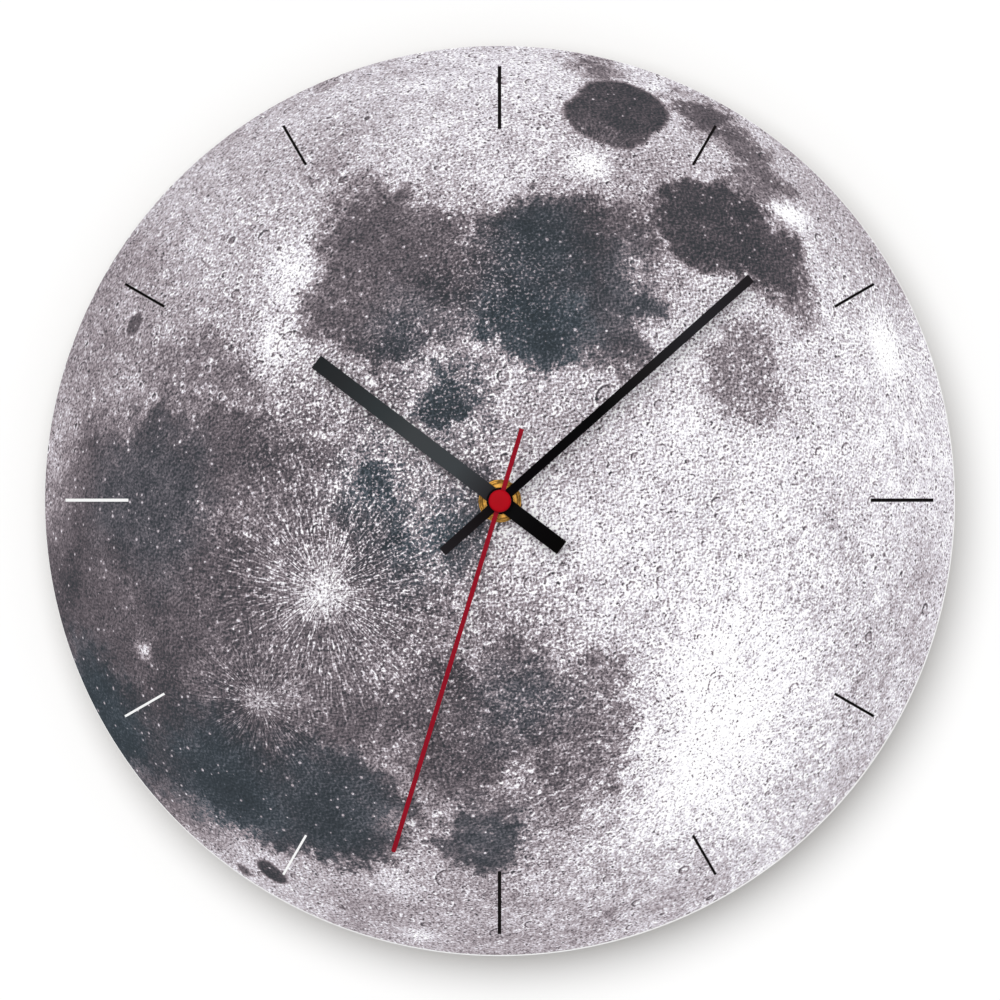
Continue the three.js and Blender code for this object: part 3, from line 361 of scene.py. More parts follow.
class Shader:
    """One material's nodes, or a world's. Wherever a socket is taken, a plain value can stand."""

    def __init__(self, name, owners=bpy.data.materials):
        self.material = owners.new(name)
        self.material.use_nodes = True
        self.tree = self.material.node_tree
        self.tree.nodes.clear()

    def node(self, kind, inputs=None, **settings):
        made = self.tree.nodes.new("ShaderNode" + kind)
        for setting, value in settings.items():
            setattr(made, setting, value)
        for socket, value in (inputs or {}).items():
            self.feed(made.inputs[socket], value)
        return made

    def feed(self, socket, value):
        if isinstance(value, bpy.types.NodeSocket):
            self.tree.links.new(value, socket)
        else:
            socket.default_value = value

    def math(self, operation, *values):
        return self.node("Math", dict(enumerate(values)), operation=operation).outputs[0]

    def vector(self, operation, *values):
        made = self.node("VectorMath", dict(enumerate(values)), operation=operation)
        scalar = operation in ("DISTANCE", "LENGTH", "DOT_PRODUCT")
        return made.outputs["Value" if scalar else "Vector"]

    def scaled(self, vector, factor):
        return self.node("VectorMath", {0: vector, "Scale": factor}, operation="SCALE").outputs[0]

    def place(self):
        return self.node("TexCoord").outputs["Object"]

    def split(self, vector):
        return self.node("SeparateXYZ", {0: vector}).outputs

    def join(self, x, y, z):
        return self.node("CombineXYZ", {0: x, 1: y, 2: z}).outputs[0]

    def noise(self, at, scale, detail=2.0, roughness=0.5, output="Fac"):
        sizes = {"Vector": at, "Scale": scale, "Detail": detail, "Roughness": roughness}
        return self.node("TexNoise", sizes).outputs[output]

    def cells(self, at, scale):
        return self.node("TexVoronoi", {"Vector": at, "Scale": scale}).outputs

    def level(self, value, start, end, low=0.0, high=1.0, **settings):
        """A value taken from one range to another."""
        sizes = {"Value": value, "From Min": start, "From Max": end, "To Min": low, "To Max": high}
        return self.node("MapRange", sizes, **settings).outputs[0]

    def smooth(self, value, start, end, low=0.0, high=1.0):
        return self.level(value, start, end, low, high, interpolation_type="SMOOTHSTEP")

    def spread(self, noise, low, high):
        """A value that goes from low to high over the range in which most of a noise lies."""
        return self.smooth(noise, *NOISE_RANGE, low, high)

    def from_axis(self, x, z):
        """The distance from the hands' axis."""
        return self.math("SQRT", self.math("MULTIPLY_ADD", x, x, self.math("MULTIPLY", z, z)))

    def ramp(self, value, stops):
        made = self.node("ValToRGB", {"Fac": value})
        points = made.color_ramp.elements
        while len(points) < len(stops):
            points.new(1.0)
        for point, (position, colour) in zip(points, stops):
            point.position = position
            point.color = colour
        return made.outputs["Color"]

    def mix(self, share, first, second, blend="MIX"):
        made = self.node("Mix", {"Factor": share}, data_type="RGBA", blend_type=blend)
        self.feed(made.inputs[MIX_FIRST], first)
        self.feed(made.inputs[MIX_SECOND], second)
        return made.outputs[MIX_RESULT]

    def bump(self, height, distance, strength=1.0):
        sizes = {"Height": height, "Distance": distance, "Strength": strength}
        return self.node("Bump", sizes).outputs["Normal"]

    def finish(self, **sockets):
        """Ends the material in one surface, with sockets named in lower case and underscores."""
        surface = self.node("BsdfPrincipled")
        by_name = {socket.name.lower().replace(" ", "_"): socket for socket in surface.inputs}
        for name, value in sockets.items():
            self.feed(by_name[name], value)
        self.node("OutputMaterial", {"Surface": surface.outputs[0]})
        return self.material


# The Moon's print


def on_globe(latitude, longitude):
    """The direction of a place on the Moon, in the print's frame: x right, y up, z to the reader."""
    lat, lon = math.radians(latitude), math.radians(longitude)
    place = Vector((math.cos(lat) * math.sin(lon), math.sin(lat), math.cos(lat) * math.cos(lon)))
    nod = Matrix.Rotation(math.radians(MOON_LATITUDE), 3, "X")
    sway = Matrix.Rotation(-math.radians(MOON_LONGITUDE), 3, "Y")
    turn = Matrix.Rotation(math.radians(MOON_TURN), 3, "Z")
    return turn @ nod @ sway @ place


def chord(degrees):
    return 2 * math.sin(math.radians(degrees) / 2)


def patches(shader, ground, places, softness):
    """The strongest of several soft round patches at each place of the globe."""
    total = 0.0
    for latitude, longitude, radius, strength in places:
        away = shader.vector("DISTANCE", ground, on_globe(latitude, longitude))
        edge = chord(radius)
        patch = shader.smooth(away, edge + softness, max(edge - softness, 0.0), 0.0, strength)
        total = shader.math("MAXIMUM", total, patch)
    return total


def ray_light(shader, globe):
    """A bright halo and fine radial dashes round each ray crater."""
    total = 0.0
    for latitude, longitude, halo, reach, glow, dash in RAYS:
        offset = shader.vector("SUBTRACT", globe, on_globe(latitude, longitude))
        away = shader.vector("LENGTH", offset)
        heading = shader.split(shader.scaled(shader.vector("NORMALIZE", offset), DASHES_AROUND))
        lane = shader.join(heading[0], heading[1], shader.math("MULTIPLY", away, DASHES_OUTWARD))
        dashes = shader.smooth(shader.noise(lane, 1.0, 1.0), *DASH_GRAIN, 0.0, dash)
        dashes = shader.math("MULTIPLY", dashes, shader.smooth(away, chord(reach), 0.0))
        rays = shader.math("ADD", dashes, shader.smooth(away, chord(halo), 0.0, 0.0, glow))
        total = shader.math("MAXIMUM", total, rays)
    return total


def rim_light(shader, ground):
    """Bright rims round the larger craters."""
    total = 0.0
    for latitude, longitude, diameter in RIMS:
        away = shader.vector("DISTANCE", ground, on_globe(latitude, longitude))
        miss = shader.math("ABSOLUTE", shader.math("SUBTRACT", away, chord(diameter / 2)))
        total = shader.math("MAXIMUM", total, shader.smooth(miss, RIM_WIDTH, 0.0))
    return total


def craters(shader, globe, scale, share):
    """Scattered small craters, as the light of their thin rims and the shadow of one wall."""
    rim_width = CRATER_RIM * scale
    cells = shader.cells(globe, scale)
    pick, size, _ = shader.split(cells["Color"])
    radius = shader.math("MULTIPLY_ADD", size, CRATER_SPREAD, CRATER_RADIUS)
    apart = shader.math("SUBTRACT", cells["Distance"], radius)
    chosen = shader.math("LESS_THAN", pick, share)
    rim = shader.smooth(shader.math("ABSOLUTE", apart), rim_width, 0.0)
    inward = shader.vector("NORMALIZE", shader.vector("SUBTRACT", cells["Position"], globe))
    shaded = shader.smooth(shader.vector("DOT_PRODUCT", inward, PRINT_LIGHT), *CRATER_SHADING)
    inside = shader.math("ABSOLUTE", shader.math("ADD", apart, SHADOW_INSET * rim_width))
    wall = shader.smooth(inside, SHADOW_WIDTH * rim_width, 0.0)
    shadow = shader.math("MULTIPLY", shaded, wall)
    return shader.math("MULTIPLY", rim, chosen), shader.math("MULTIPLY", shadow, chosen)


def emboss(shader, globe):
    """Fine rough ground, lighter on the slopes that face the print's light."""
    toward = shader.vector("MULTIPLY_ADD", PRINT_LIGHT, (RELIEF_STEP,) * 3, globe)
    behind = shader.vector("MULTIPLY_ADD", PRINT_LIGHT, (-RELIEF_STEP,) * 3, globe)
    lit = shader.noise(toward, *RELIEF_NOISE)
    return shader.math("SUBTRACT", shader.noise(behind, *RELIEF_NOISE), lit)


def by_shade(shader, shade, stops):
    """A value that follows the ground's darkness, given at a few darknesses."""
    return shader.ramp(shade, [(at, (value, value, value, 1.0)) for at, value in stops])


def globe_on_dial(shader, moon_radius):
    """The place of the globe that each place of the print shows, and its height toward the reader."""
    x, _, z = shader.split(shader.place())
    across = shader.math("DIVIDE", x, moon_radius)
    up = shader.math("DIVIDE", z, moon_radius)
    flat = shader.math("MULTIPLY_ADD", across, across, shader.math("MULTIPLY", up, up))
    height = shader.math("SQRT", shader.math("MAXIMUM", shader.math("SUBTRACT", 1.0, flat), 0.0))
    return shader.join(across, up, height), height


def wander(shader, globe, noise):
    """A noise in three directions about nothing."""
    return shader.vector("SUBTRACT", shader.noise(globe, *noise, output="Color"), (NOISE_MIDDLE,) * 3)


def shifted(shader, globe, drift, fray, shares):
    """Places of the globe, moved about by a coarse and a fine noise."""
    coarse, fine = shares
    moved = shader.vector("MULTIPLY_ADD", drift, (coarse,) * 3, globe)
    return shader.vector("MULTIPLY_ADD", fray, (fine,) * 3, moved)


def pitted(shader, globe, tone, shade, sparkle, off_limb):
    """A tone with the dark pits and bright sparks of a fine grain."""
    grain = shader.noise(globe, *GRAIN_NOISE)
    pits = shader.smooth(grain, *PIT_GRAIN)
    sparks = shader.smooth(grain, *SPARK_GRAIN)
    pit_depth = by_shade(shader, shade, PIT_DEPTH)
    spark_gain = by_shade(shader, shade, SPARK_GAIN)
    spark_gain = shader.math("MULTIPLY_ADD", sparkle, SPARKLE_SPARKS, spark_gain)
    spark_gain = shader.math("MULTIPLY", spark_gain, off_limb)
    tone = shader.math("SUBTRACT", tone, shader.math("MULTIPLY", pits, pit_depth))
    return shader.math("MULTIPLY_ADD", sparks, spark_gain, tone)


def dotted(shader, globe, tone, shade):
    """A tone with small bright dots strewn over the seas."""
    dots = shader.cells(globe, DOT_SCALE)
    pick, size, _ = shader.split(dots["Color"])
    dot = shader.smooth(shader.math("DIVIDE", dots["Distance"], size), *DOT_EDGE)
    dot = shader.math("MULTIPLY", dot, shader.math("LESS_THAN", pick, DOT_SHARE))
    return shader.math("MULTIPLY_ADD", dot, by_shade(shader, shade, DOT_GAIN), tone)


def cratered(shader, globe, tone, shade, off_limb):
    """A tone with the rims and the shadows of scattered craters."""
    rim_gain = by_shade(shader, shade, RIM_GAIN)
    rim_gain = shader.math("MULTIPLY", rim_gain, off_limb)
    shadow_depth = by_shade(shader, shade, SHADOW_DEPTH)
    for scale, share in CRATER_SCALES:
        rim, shadow = craters(shader, globe, scale, share)
        tone = shader.math("MULTIPLY_ADD", rim, rim_gain, tone)
        tone = shader.math("SUBTRACT", tone, shader.math("MULTIPLY", shadow, shadow_depth))
    return tone


def print_colour(shader, tone, blue):
    """The colour that a tone is printed in, bluer where bluer ground is dark."""
    colour = shader.ramp(tone, [(at, linear(shown)) for at, shown in PRINT_TONES])
    tinted = shader.mix(1.0, colour, BLUE_TINT, "MULTIPLY")
    in_shade = shader.math("MULTIPLY", blue, shader.smooth(tone, *BLUE_TONES))
    return shader.mix(in_shade, colour, tinted)


def moon_print(moon_radius):
    """The near side of the Moon, drawn from the places and sizes of its seas, rays and craters.

    The material is close to the most that the renderer can hold: a few more places and it is black.
    """
    shader = Shader("moon_print")
    globe, height = globe_on_dial(shader, moon_radius)
    drift = wander(shader, globe, DRIFT_NOISE)
    fray = wander(shader, globe, FRAY_NOISE)
    ground = shifted(shader, globe, drift, fray, SHORE_SHIFT)
    grey = patches(shader, ground, GREY_GROUND, GREY_EDGE)
    seas = patches(shader, ground, SEAS, SEA_EDGE)
    near_true = shifted(shader, globe, drift, fray, FLOOR_SHIFT)
    floors = patches(shader, near_true, DARK_FLOORS, FLOOR_EDGE)
    dark = shader.math("MAXIMUM", grey, shader.math("MAXIMUM", seas, floors))
    blue = patches(shader, ground, BLUE_GROUND, BLUE_EDGE)
    rays = ray_light(shader, globe)
    rims = rim_light(shader, near_true)

    mottle = shader.math("SUBTRACT", shader.noise(globe, *MOTTLE_NOISE), NOISE_MIDDLE)
    sparkle = patches(shader, globe, SPARKLING_GROUND, SPARKLE_EDGE)
    shade = shader.math("MULTIPLY_ADD", rays, -RAY_LIGHT, dark)
    shade = shader.math("MULTIPLY_ADD", sparkle, SPARKLE_SHADE, shade)
    mottle_gain = shader.math("MULTIPLY_ADD", sparkle, SPARKLE_MOTTLE, PLAIN_MOTTLE)
    shade = shader.math("MULTIPLY_ADD", mottle, mottle_gain, shade)

    tone = shader.level(shade, *SHADE_RANGE, *TONE_RANGE, clamp=False)
    relief_gain = by_shade(shader, shade, RELIEF_GAIN)
    off_limb = shader.smooth(height, *LIMB_HEIGHTS, LIMB_DETAIL, 1.0)
    relief_gain = shader.math("MULTIPLY", relief_gain, off_limb)
    tone = shader.math("MULTIPLY_ADD", emboss(shader, globe), relief_gain, tone)
    tone = pitted(shader, globe, tone, shade, sparkle, off_limb)
    tone = dotted(shader, globe, tone, shade)
    tone = cratered(shader, globe, tone, shade, off_limb)
    tone = shader.math("MULTIPLY_ADD", rims, RIM_LIGHT, tone)

    colour = print_colour(shader, tone, blue)
    peel = shader.noise(shader.place(), FILM_PEEL)
    return shader.finish(
        base_color=colour,
        roughness=0.55,
        specular_ior_level=0.2,
        normal=shader.bump(peel, 0.02 * MM, 0.3),
    )


# Other finishes

BRASS = (154, 113, 51)
STEEL = (190, 193, 197)
HAND_RED = (154, 17, 37)
CAP_RED = (184, 10, 26)
BLACK_INK = (10, 7, 7)
WHITE_INK = (255, 255, 255)
LACQUER_WHITE = (252, 252, 252)
FIBRE_STAIN = (112, 95, 78)
FIBRE_BROWNS = [
    (0.25, (102, 87, 71)),
    (0.50, (134, 117, 98)),
    (0.75, (162, 145, 124)),
]
CELL_BLUE = (46, 62, 78)
CELL_PALE = (196, 200, 204)
CELL_STEEL = (188, 190, 194)
COPPER_BRIGHT = (176, 98, 52)
COPPER_DEEP = (140, 70, 36)
MASK_GREEN = (26, 84, 46)
MASK_OVER_COPPER = (44, 112, 60)

# Scales of the noise that roughens a finish, in waves per metre
FILM_PEEL = 900.0
PAINT_PEEL = 2500.0
PAINT_CLOUDS = 120.0
INK_GRAIN = 3000.0
MOULD_GRAIN = 2600.0
RUBBER_GRAIN = 1400.0
MOULD_FLOW = 70.0

# Lengths on the board, the winding and the cell
OVERSPRAY_REACH = 2.0 * MM
OVERSPRAY_OVERLAP = 0.8 * MM
OVERSPRAY_RAGGED = 2.5 * MM
LACQUER_START = 0.2 * MM
LACQUER_FULL = 0.5 * MM
WIRE_RADIUS = 0.05 * MM
CELL_BAND = (11.5 * MM, 11.3 * MM)
CELL_BASE_STEEL = (0.45 * MM, 0.40 * MM)
CELL_TOP_STEEL = (1.5 * MM, 1.45 * MM)


def lacquered_board(back, edge_radius):
    """Fibreboard with white lacquer on its front and edge, and bare brown fibre behind."""
    shader = Shader("lacquered_board")
    place = shader.place()
    x, y, z = shader.split(place)
    radius = shader.from_axis(x, z)
    fibres = shader.noise(shader.vector("MULTIPLY", place, (1.0, 1.0, 3.0)), 700.0, 4.0, 0.7)
    clumps = shader.noise(place, 60.0, 4.0, 0.6)
    brown = shader.ramp(fibres, [(at, linear(shown)) for at, shown in FIBRE_BROWNS])
    stained = shader.mix(shader.smooth(clumps, 0.35, 0.75, 0.0, 0.35), brown, linear(FIBRE_STAIN))
    ragged = shader.math("MULTIPLY_ADD", shader.noise(place, 90.0, 3.0), OVERSPRAY_RAGGED, radius)
    overspray = shader.smooth(ragged, edge_radius - OVERSPRAY_REACH, edge_radius + OVERSPRAY_OVERLAP)
    off_back = shader.smooth(y, back - LACQUER_START, back - LACQUER_FULL)
    white = shader.math("MAXIMUM", overspray, off_back)
    colour = shader.mix(white, stained, linear(LACQUER_WHITE))
    return shader.finish(
        base_color=colour,
        roughness=shader.smooth(white, 0.0, 1.0, 0.85, 0.4),
        normal=shader.bump(fibres, 0.04 * MM, shader.smooth(white, 0.0, 1.0, 0.5, 0.05)),
    )


def ink(name, colour):
    """Flat printing ink, slightly uneven."""
    shader = Shader(name)
    density = shader.noise(shader.place(), INK_GRAIN)
    shown = shader.mix(density, linear(colour), linear(toned(colour, 0.92)))
    return shader.finish(base_color=shown, roughness=0.6, specular_ior_level=0.04)


def paint(name, colour, roughness, specular):
    """Thin sprayed paint: an even colour with a fine orange peel."""
    shader = Shader(name)
    place = shader.place()
    peel = shader.noise(place, PAINT_PEEL)
    cloud = shader.noise(place, PAINT_CLOUDS, 3.0)
    return shader.finish(
        base_color=shader.mix(cloud, linear(toned(colour, 0.82)), linear(colour)),
        roughness=shader.spread(peel, roughness - 0.04, roughness + 0.04),
        specular_ior_level=specular,
        normal=shader.bump(peel, 0.01 * MM, 0.4),
    )


def sheen_painted_hand(name, clock_degrees, painted_sheen):
    """Satin black paint with a painted sheen: its colour along the hand, given as (millimetres from the
    hub, colour), is lighter where the paint's reflection of the light is painted in.
    """
    shader = Shader(name)
    (x, z), = turned_to([(0.0, 1.0)], clock_degrees)
    along = shader.vector("DOT_PRODUCT", shader.place(), (x, 0.0, z))
    first, last = painted_sheen[0][0], painted_sheen[-1][0]
    share = shader.level(along, first * MM, last * MM)
    stops = [((at - first) / (last - first), linear(colour)) for at, colour in painted_sheen]
    peel = shader.noise(shader.place(), PAINT_PEEL)
    return shader.finish(
        # The base colour carries the painted sheen; the specular level is kept almost off.
        base_color=shader.ramp(share, stops),
        roughness=shader.spread(peel, 0.30, 0.38),
        specular_ior_level=0.01,
        normal=shader.bump(peel, 0.01 * MM, 0.4),
    )


def turned_metal(name, colour, roughness, groove):
    """Metal turned about the hands' axis, with fine concentric tool marks."""
    shader = Shader(name)
    place = shader.place()
    x, _, z = shader.split(place)
    radius = shader.from_axis(x, z)
    lines = shader.noise(shader.join(radius, 0.0, 0.0), 1.0 / groove, 2.0, 0.7)
    tarnish = shader.noise(place, 400.0, 4.0, 0.6)
    darker = toned(colour, 0.45)
    worn = shader.math("MULTIPLY_ADD", tarnish, 0.5, shader.math("MULTIPLY", lines, 0.5))
    return shader.finish(
        base_color=shader.mix(shader.smooth(worn, 0.38, 0.60), linear(darker), linear(colour)),
        metallic=1.0,
        roughness=shader.spread(lines, roughness - 0.06, roughness + 0.1),
        normal=shader.bump(lines, 0.03 * MM, 0.7),
    )


def sheet_metal(name, colour, roughness):
    """Rolled and plated sheet, with faint streaks along x and small spots."""
    shader = Shader(name)
    place = shader.place()
    streaks = shader.noise(shader.vector("MULTIPLY", place, (150.0, 4000.0, 4000.0)), 1.0, 3.0)
    spots = shader.noise(place, 900.0, 3.0)
    darker = toned(colour, 0.8)
    return shader.finish(
        base_color=shader.mix(shader.smooth(spots, 0.4, 0.7), linear(colour), linear(darker)),
        metallic=1.0,
        roughness=shader.spread(streaks, roughness - 0.06, roughness + 0.12),
        normal=shader.bump(streaks, 0.005 * MM, 0.4),
    )


def moulded(name, colour, roughness, grain=MOULD_GRAIN):
    """Moulded plastic with a spark-eroded grain and slight flow marks."""
    shader = Shader(name)
    place = shader.place()
    texture = shader.noise(place, grain, 3.0, 0.6)
    flow = shader.noise(place, MOULD_FLOW, 3.0)
    lighter = [min(255, 1.18 * channel + 3) for channel in colour]
    return shader.finish(
        base_color=shader.mix(flow, linear(colour), linear(lighter)),
        roughness=shader.spread(texture, roughness - 0.06, roughness + 0.1),
        specular_ior_level=0.4,
        normal=shader.bump(texture, 0.02 * MM, 0.5),
    )


def winding():
    """Enamelled copper wire wound round x."""
    shader = Shader("copper_wire")
    place = shader.place()
    x, _, _ = shader.split(place)
    turns = shader.math("PINGPONG", x, WIRE_RADIUS)
    shine = shader.noise(place, 500.0, 3.0)
    return shader.finish(
        base_color=shader.mix(shine, linear(COPPER_BRIGHT), linear(COPPER_DEEP)),
        metallic=1.0,
        roughness=shader.spread(shine, 0.25, 0.4),
        normal=shader.bump(turns, WIRE_RADIUS, 0.8),
    )


def solder_mask():
    """Green board lacquer over copper tracks."""
    shader = Shader("solder_mask")
    place = shader.place()
    tracks = shader.cells(shader.vector("MULTIPLY", place, (1.0, 0.0, 2.0)), 420.0)["Distance"]
    over_copper = shader.smooth(tracks, 0.30, 0.34)
    return shader.finish(
        base_color=shader.mix(over_copper, linear(MASK_GREEN), linear(MASK_OVER_COPPER)),
        roughness=0.35,
        normal=shader.bump(over_copper, 0.02 * MM, 0.6),
    )


def cell_sleeve(low, high):
    """A dry cell's printed sleeve: plain blue-grey, a pale band at the positive end, bare steel ends."""
    shader = Shader("cell_sleeve")
    place = shader.place()
    x, _, _ = shader.split(place)
    band = shader.smooth(x, *[high - inset for inset in CELL_BAND])
    sleeve = shader.mix(band, linear(CELL_BLUE), linear(CELL_PALE))
    steel = shader.math(
        "MAXIMUM",
        shader.smooth(x, *[low + inset for inset in CELL_BASE_STEEL]),
        shader.smooth(x, *[high - inset for inset in CELL_TOP_STEEL]),
    )
    streaks = shader.noise(place, 600.0, 3.0)
    return shader.finish(
        base_color=shader.mix(steel, sleeve, linear(CELL_STEEL)),
        metallic=shader.math("MULTIPLY_ADD", steel, 0.65, 0.35),
        roughness=shader.spread(streaks, 0.24, 0.36),
    )


# Mesh helpers

WELD = 0.001 * MM
FLAT_ANGLE = 0.5


def add_object(name, data):
    """A new object in the scene."""
    made = bpy.data.objects.new(name, data)
    scene.collection.objects.link(made)
    return made


def mesh_of(bm, name):
    """A mesh with the shape of a bmesh, which is freed."""
    mesh = bpy.data.meshes.new(name)
    bm.to_mesh(mesh)
    bm.free()
    return mesh


def piece(name, bm, material, body, replaced=(), sharp=35.0):
    """Turns a bmesh into a piece that rides on a body."""
    bmesh.ops.recalc_face_normals(bm, faces=bm.faces)
    mesh = mesh_of(bm, name)
    mesh.materials.append(material)
    mesh.shade_smooth()
    mesh.set_sharp_from_angle(angle=math.radians(sharp))
    made = add_object(name, mesh)
    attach(made, body)
    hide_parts(*replaced)
    return made


def lathe(rings, segments=ROUND):
    """A bmesh about y from rings, each a function of the angle that gives a radius and a y."""
    bm = bmesh.new()
    angles = [2 * math.pi * step / segments for step in range(segments)]
    loops = []
    for ring in rings:
        corners = [(*ring(a), a) for a in angles]
        if corners[0][0] == 0:
            corners = corners[:1]
        loops.append([bm.verts.new((r * math.cos(a), y, r * math.sin(a))) for r, y, a in corners])
    pairs = list(zip(loops, loops[1:]))
    if len(loops[0]) > 1 and len(loops[-1]) > 1:
        pairs.append((loops[-1], loops[0]))
    for near, far in pairs:
        if len(near) == len(far) == 1:
            continue
        for step in range(segments):
            corners = [near[step % len(near)], near[(step + 1) % len(near)]]
            corners += [far[(step + 1) % len(far)], far[step % len(far)]]
            bm.faces.new(list(dict.fromkeys(corners)))
    return bm


def turned(profile, segments=ROUND):
    """A bmesh turned about y from (radius, y) corners; it closes on the axis or on itself."""
    return lathe([lambda angle, corner=corner: corner for corner in profile], segments)


def bore_of(node):
    """The radius of the hole along the hands' axis in a CAD node."""
    return min(vertex.co.xz.length for vertex in nodes[node].data.vertices)


def corner(centre_radius, centre_y, size, start, end, steps=5):
    """Profile points round a rounded corner, from one direction to another in degrees."""
    angles = [math.radians(start + (end - start) * step / steps) for step in range(steps + 1)]
    return [(centre_radius + size * math.cos(a), centre_y + size * math.sin(a)) for a in angles]


def flat_ring(node, size):
    """The profile of a CAD node that is a flat ring, with its outer edges rounded."""
    low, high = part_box(node)
    bore = bore_of(node)
    return [
        (bore, high.y),
        *corner(high.x - size, high.y - size, size, 90, 0),
        *corner(high.x - size, low.y + size, size, 0, -90),
        (bore, low.y),
    ]


def plate(outlines, back, front, edge, steps=2):
    """A bmesh of flat sheet with holes, its rims slightly rounded; outlines are lists of (x, z)."""
    bm = bmesh.new()
    edges = []
    for outline in outlines:
        verts = [bm.verts.new((x, back, z)) for x, z in outline]
        edges += [bm.edges.new(pair) for pair in zip(verts, verts[1:] + verts[:1])]
    faces = bmesh.ops.triangle_fill(bm, edges=edges, use_dissolve=True, use_beauty=True)["geom"]
    sheet = [face for face in faces if isinstance(face, bmesh.types.BMFace)]
    grown = bmesh.ops.extrude_face_region(bm, geom=sheet)["geom"]
    moved = [vert for vert in grown if isinstance(vert, bmesh.types.BMVert)]
    bmesh.ops.translate(bm, verts=moved, vec=(0.0, front - back, 0.0))
    bmesh.ops.recalc_face_normals(bm, faces=bm.faces)
    soften(bm, edge, steps)
    return bm


def soften(bm, width, steps=2, angle=30.0):
    """Rounds every edge that is sharper than an angle."""
    sharp = [e for e in bm.edges if e.is_manifold and e.calc_face_angle() > math.radians(angle)]
    bmesh.ops.bevel(
        bm, geom=sharp, offset=width, segments=steps, profile=0.5, affect="EDGES", clamp_overlap=True,
    )


def refined(node, width):
    """A bmesh of a CAD node with its flat faces merged and its edges slightly rounded."""
    bm = bmesh.new()
    bm.from_mesh(nodes[node].data)
    bmesh.ops.remove_doubles(bm, verts=bm.verts, dist=WELD)
    bmesh.ops.dissolve_limit(bm, angle_limit=math.radians(FLAT_ANGLE), verts=bm.verts, edges=bm.edges)
    soften(bm, width)
    return bm


def carved(bm, cutters):
    """A bmesh less other bmeshes."""
    made = [add_object("carving", mesh_of(solid, "carving")) for solid in (bm, *cutters)]
    for tool in made[1:]:
        cut = made[0].modifiers.new("cut", "BOOLEAN")
        cut.object = tool
    shown = made[0].evaluated_get(bpy.context.evaluated_depsgraph_get())
    result = bmesh.new()
    result.from_mesh(shown.data)
    for solid in made:
        bpy.data.meshes.remove(solid.data)
    return result


def turned_to(points, clock_degrees):
    """Outline points made for a hand that points to twelve, turned to where it stands."""
    a = math.radians(clock_degrees)
    return [(x * math.cos(a) + z * math.sin(a), z * math.cos(a) - x * math.sin(a)) for x, z in points]


def circle(radius, steps=64, centre=(0.0, 0.0)):
    return corner(*centre, radius, 0, 360 - 360 / steps, steps - 1)


def rounded_box(low, high, radius):
    """An outline with rounded corners between two opposite corners."""
    (left, bottom), (right, top) = low, high
    return [
        *corner(right - radius, top - radius, radius, 0, 90),
        *corner(left + radius, top - radius, radius, 90, 180),
        *corner(left + radius, bottom + radius, radius, 180, 270),
        *corner(right - radius, bottom + radius, radius, 270, 360),
    ]


# Dial

BOARD_EDGE = 0.12 * MM
FILM_INSET = 0.26 * MM
FILM_SHIFT = (-0.13 * MM, 0.20 * MM)
FRONT_UV_SHARE = 0.93
EDGE_STRIP_START = 0.2
FACING = 0.5


def dial():
    _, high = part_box("dial_disc")
    radius = high.x
    bore = bore_of("dial_disc")
    board = turned(flat_ring("dial_disc", BOARD_EDGE), FINE_ROUND)
    piece("dial_board", board, lacquered_board(high.y, radius), "clock", ["dial_disc"])

    low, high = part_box("printed_face")
    profile = [
        (bore, high.y),
        (radius - FILM_INSET, high.y),
        (radius - FILM_INSET, low.y),
        (bore, low.y),
    ]
    film = turned(profile, FINE_ROUND)
    shift = Vector((FILM_SHIFT[0], 0.0, FILM_SHIFT[1]))
    bmesh.ops.translate(film, verts=[v for v in film.verts if v.co.xz.length > radius / 2], vec=shift)
    material = moon_print(radius * MOON_OVER_DIAL)
    made = piece("moon_print", film, material, "clock", ["printed_face"])
    lay_out_film(made.data, radius, low.y)


def lay_out_film(mesh, radius, front):
    """Gives the film's front nearly the whole map, its back a corner and its edge a strip."""
    layer = mesh.uv_layers.new(name="OFBake")
    spare = 1.0 - FRONT_UV_SHARE
    for face in mesh.polygons:
        for loop in face.loop_indices:
            place = mesh.vertices[mesh.loops[loop].vertex_index].co
            u = (place.x / radius + 1) / 2
            v = (place.z / radius + 1) / 2
            if face.normal.y < -FACING:
                layer.data[loop].uv = (u * FRONT_UV_SHARE, v * FRONT_UV_SHARE)
            elif face.normal.y > FACING:
                layer.data[loop].uv = (1 - u * spare, 1 - v * spare)
            else:
                up = EDGE_STRIP_START + (place.y - front) / MM
                layer.data[loop].uv = (u * FRONT_UV_SHARE, FRONT_UV_SHARE + spare * up)


# Hour marks: distances of both ends from the middle, and the width

HOUR_ANGLE = 30
QUARTER_MARK = (122.3 * MM, 143.0 * MM, 1.15 * MM)
HOUR_MARK = (127.5 * MM, 142.5 * MM, 0.9 * MM)
WHITE_HOURS = (7, 8, 9)
WHITE_MARK_WIDTH = 0.85
MARK_SHIFT = (-0.13 * MM, 0.28 * MM)
INK_THICKNESS = 0.03 * MM


def hour_marks():
    film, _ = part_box("printed_face")
    for name, hours, colour in (
        ("hour_marks_black", set(range(1, 13)) - set(WHITE_HOURS), BLACK_INK),
        ("hour_marks_white", set(WHITE_HOURS), WHITE_INK),
    ):
        bm = bmesh.new()
        for hour in sorted(hours):
            inner, outer, width = QUARTER_MARK if hour % 3 == 0 else HOUR_MARK
            half = width / 2 * (WHITE_MARK_WIDTH if hour in WHITE_HOURS else 1.0)
            bar = [(-half, inner), (half, inner), (half, outer), (-half, outer)]
            turned_bar = turned_to(bar, HOUR_ANGLE * hour)
            placed = [(x + MARK_SHIFT[0], z + MARK_SHIFT[1]) for x, z in turned_bar]
            add_to(bm, plate([placed], film.y, film.y - INK_THICKNESS, INK_THICKNESS / 4, 1))
        piece(name, bm, ink(name, colour), "clock")


def add_to(bm, other):
    """Adds a bmesh to another and frees it."""
    mesh = mesh_of(other, "part")
    bm.from_mesh(mesh)
    bpy.data.meshes.remove(mesh)


# Hands

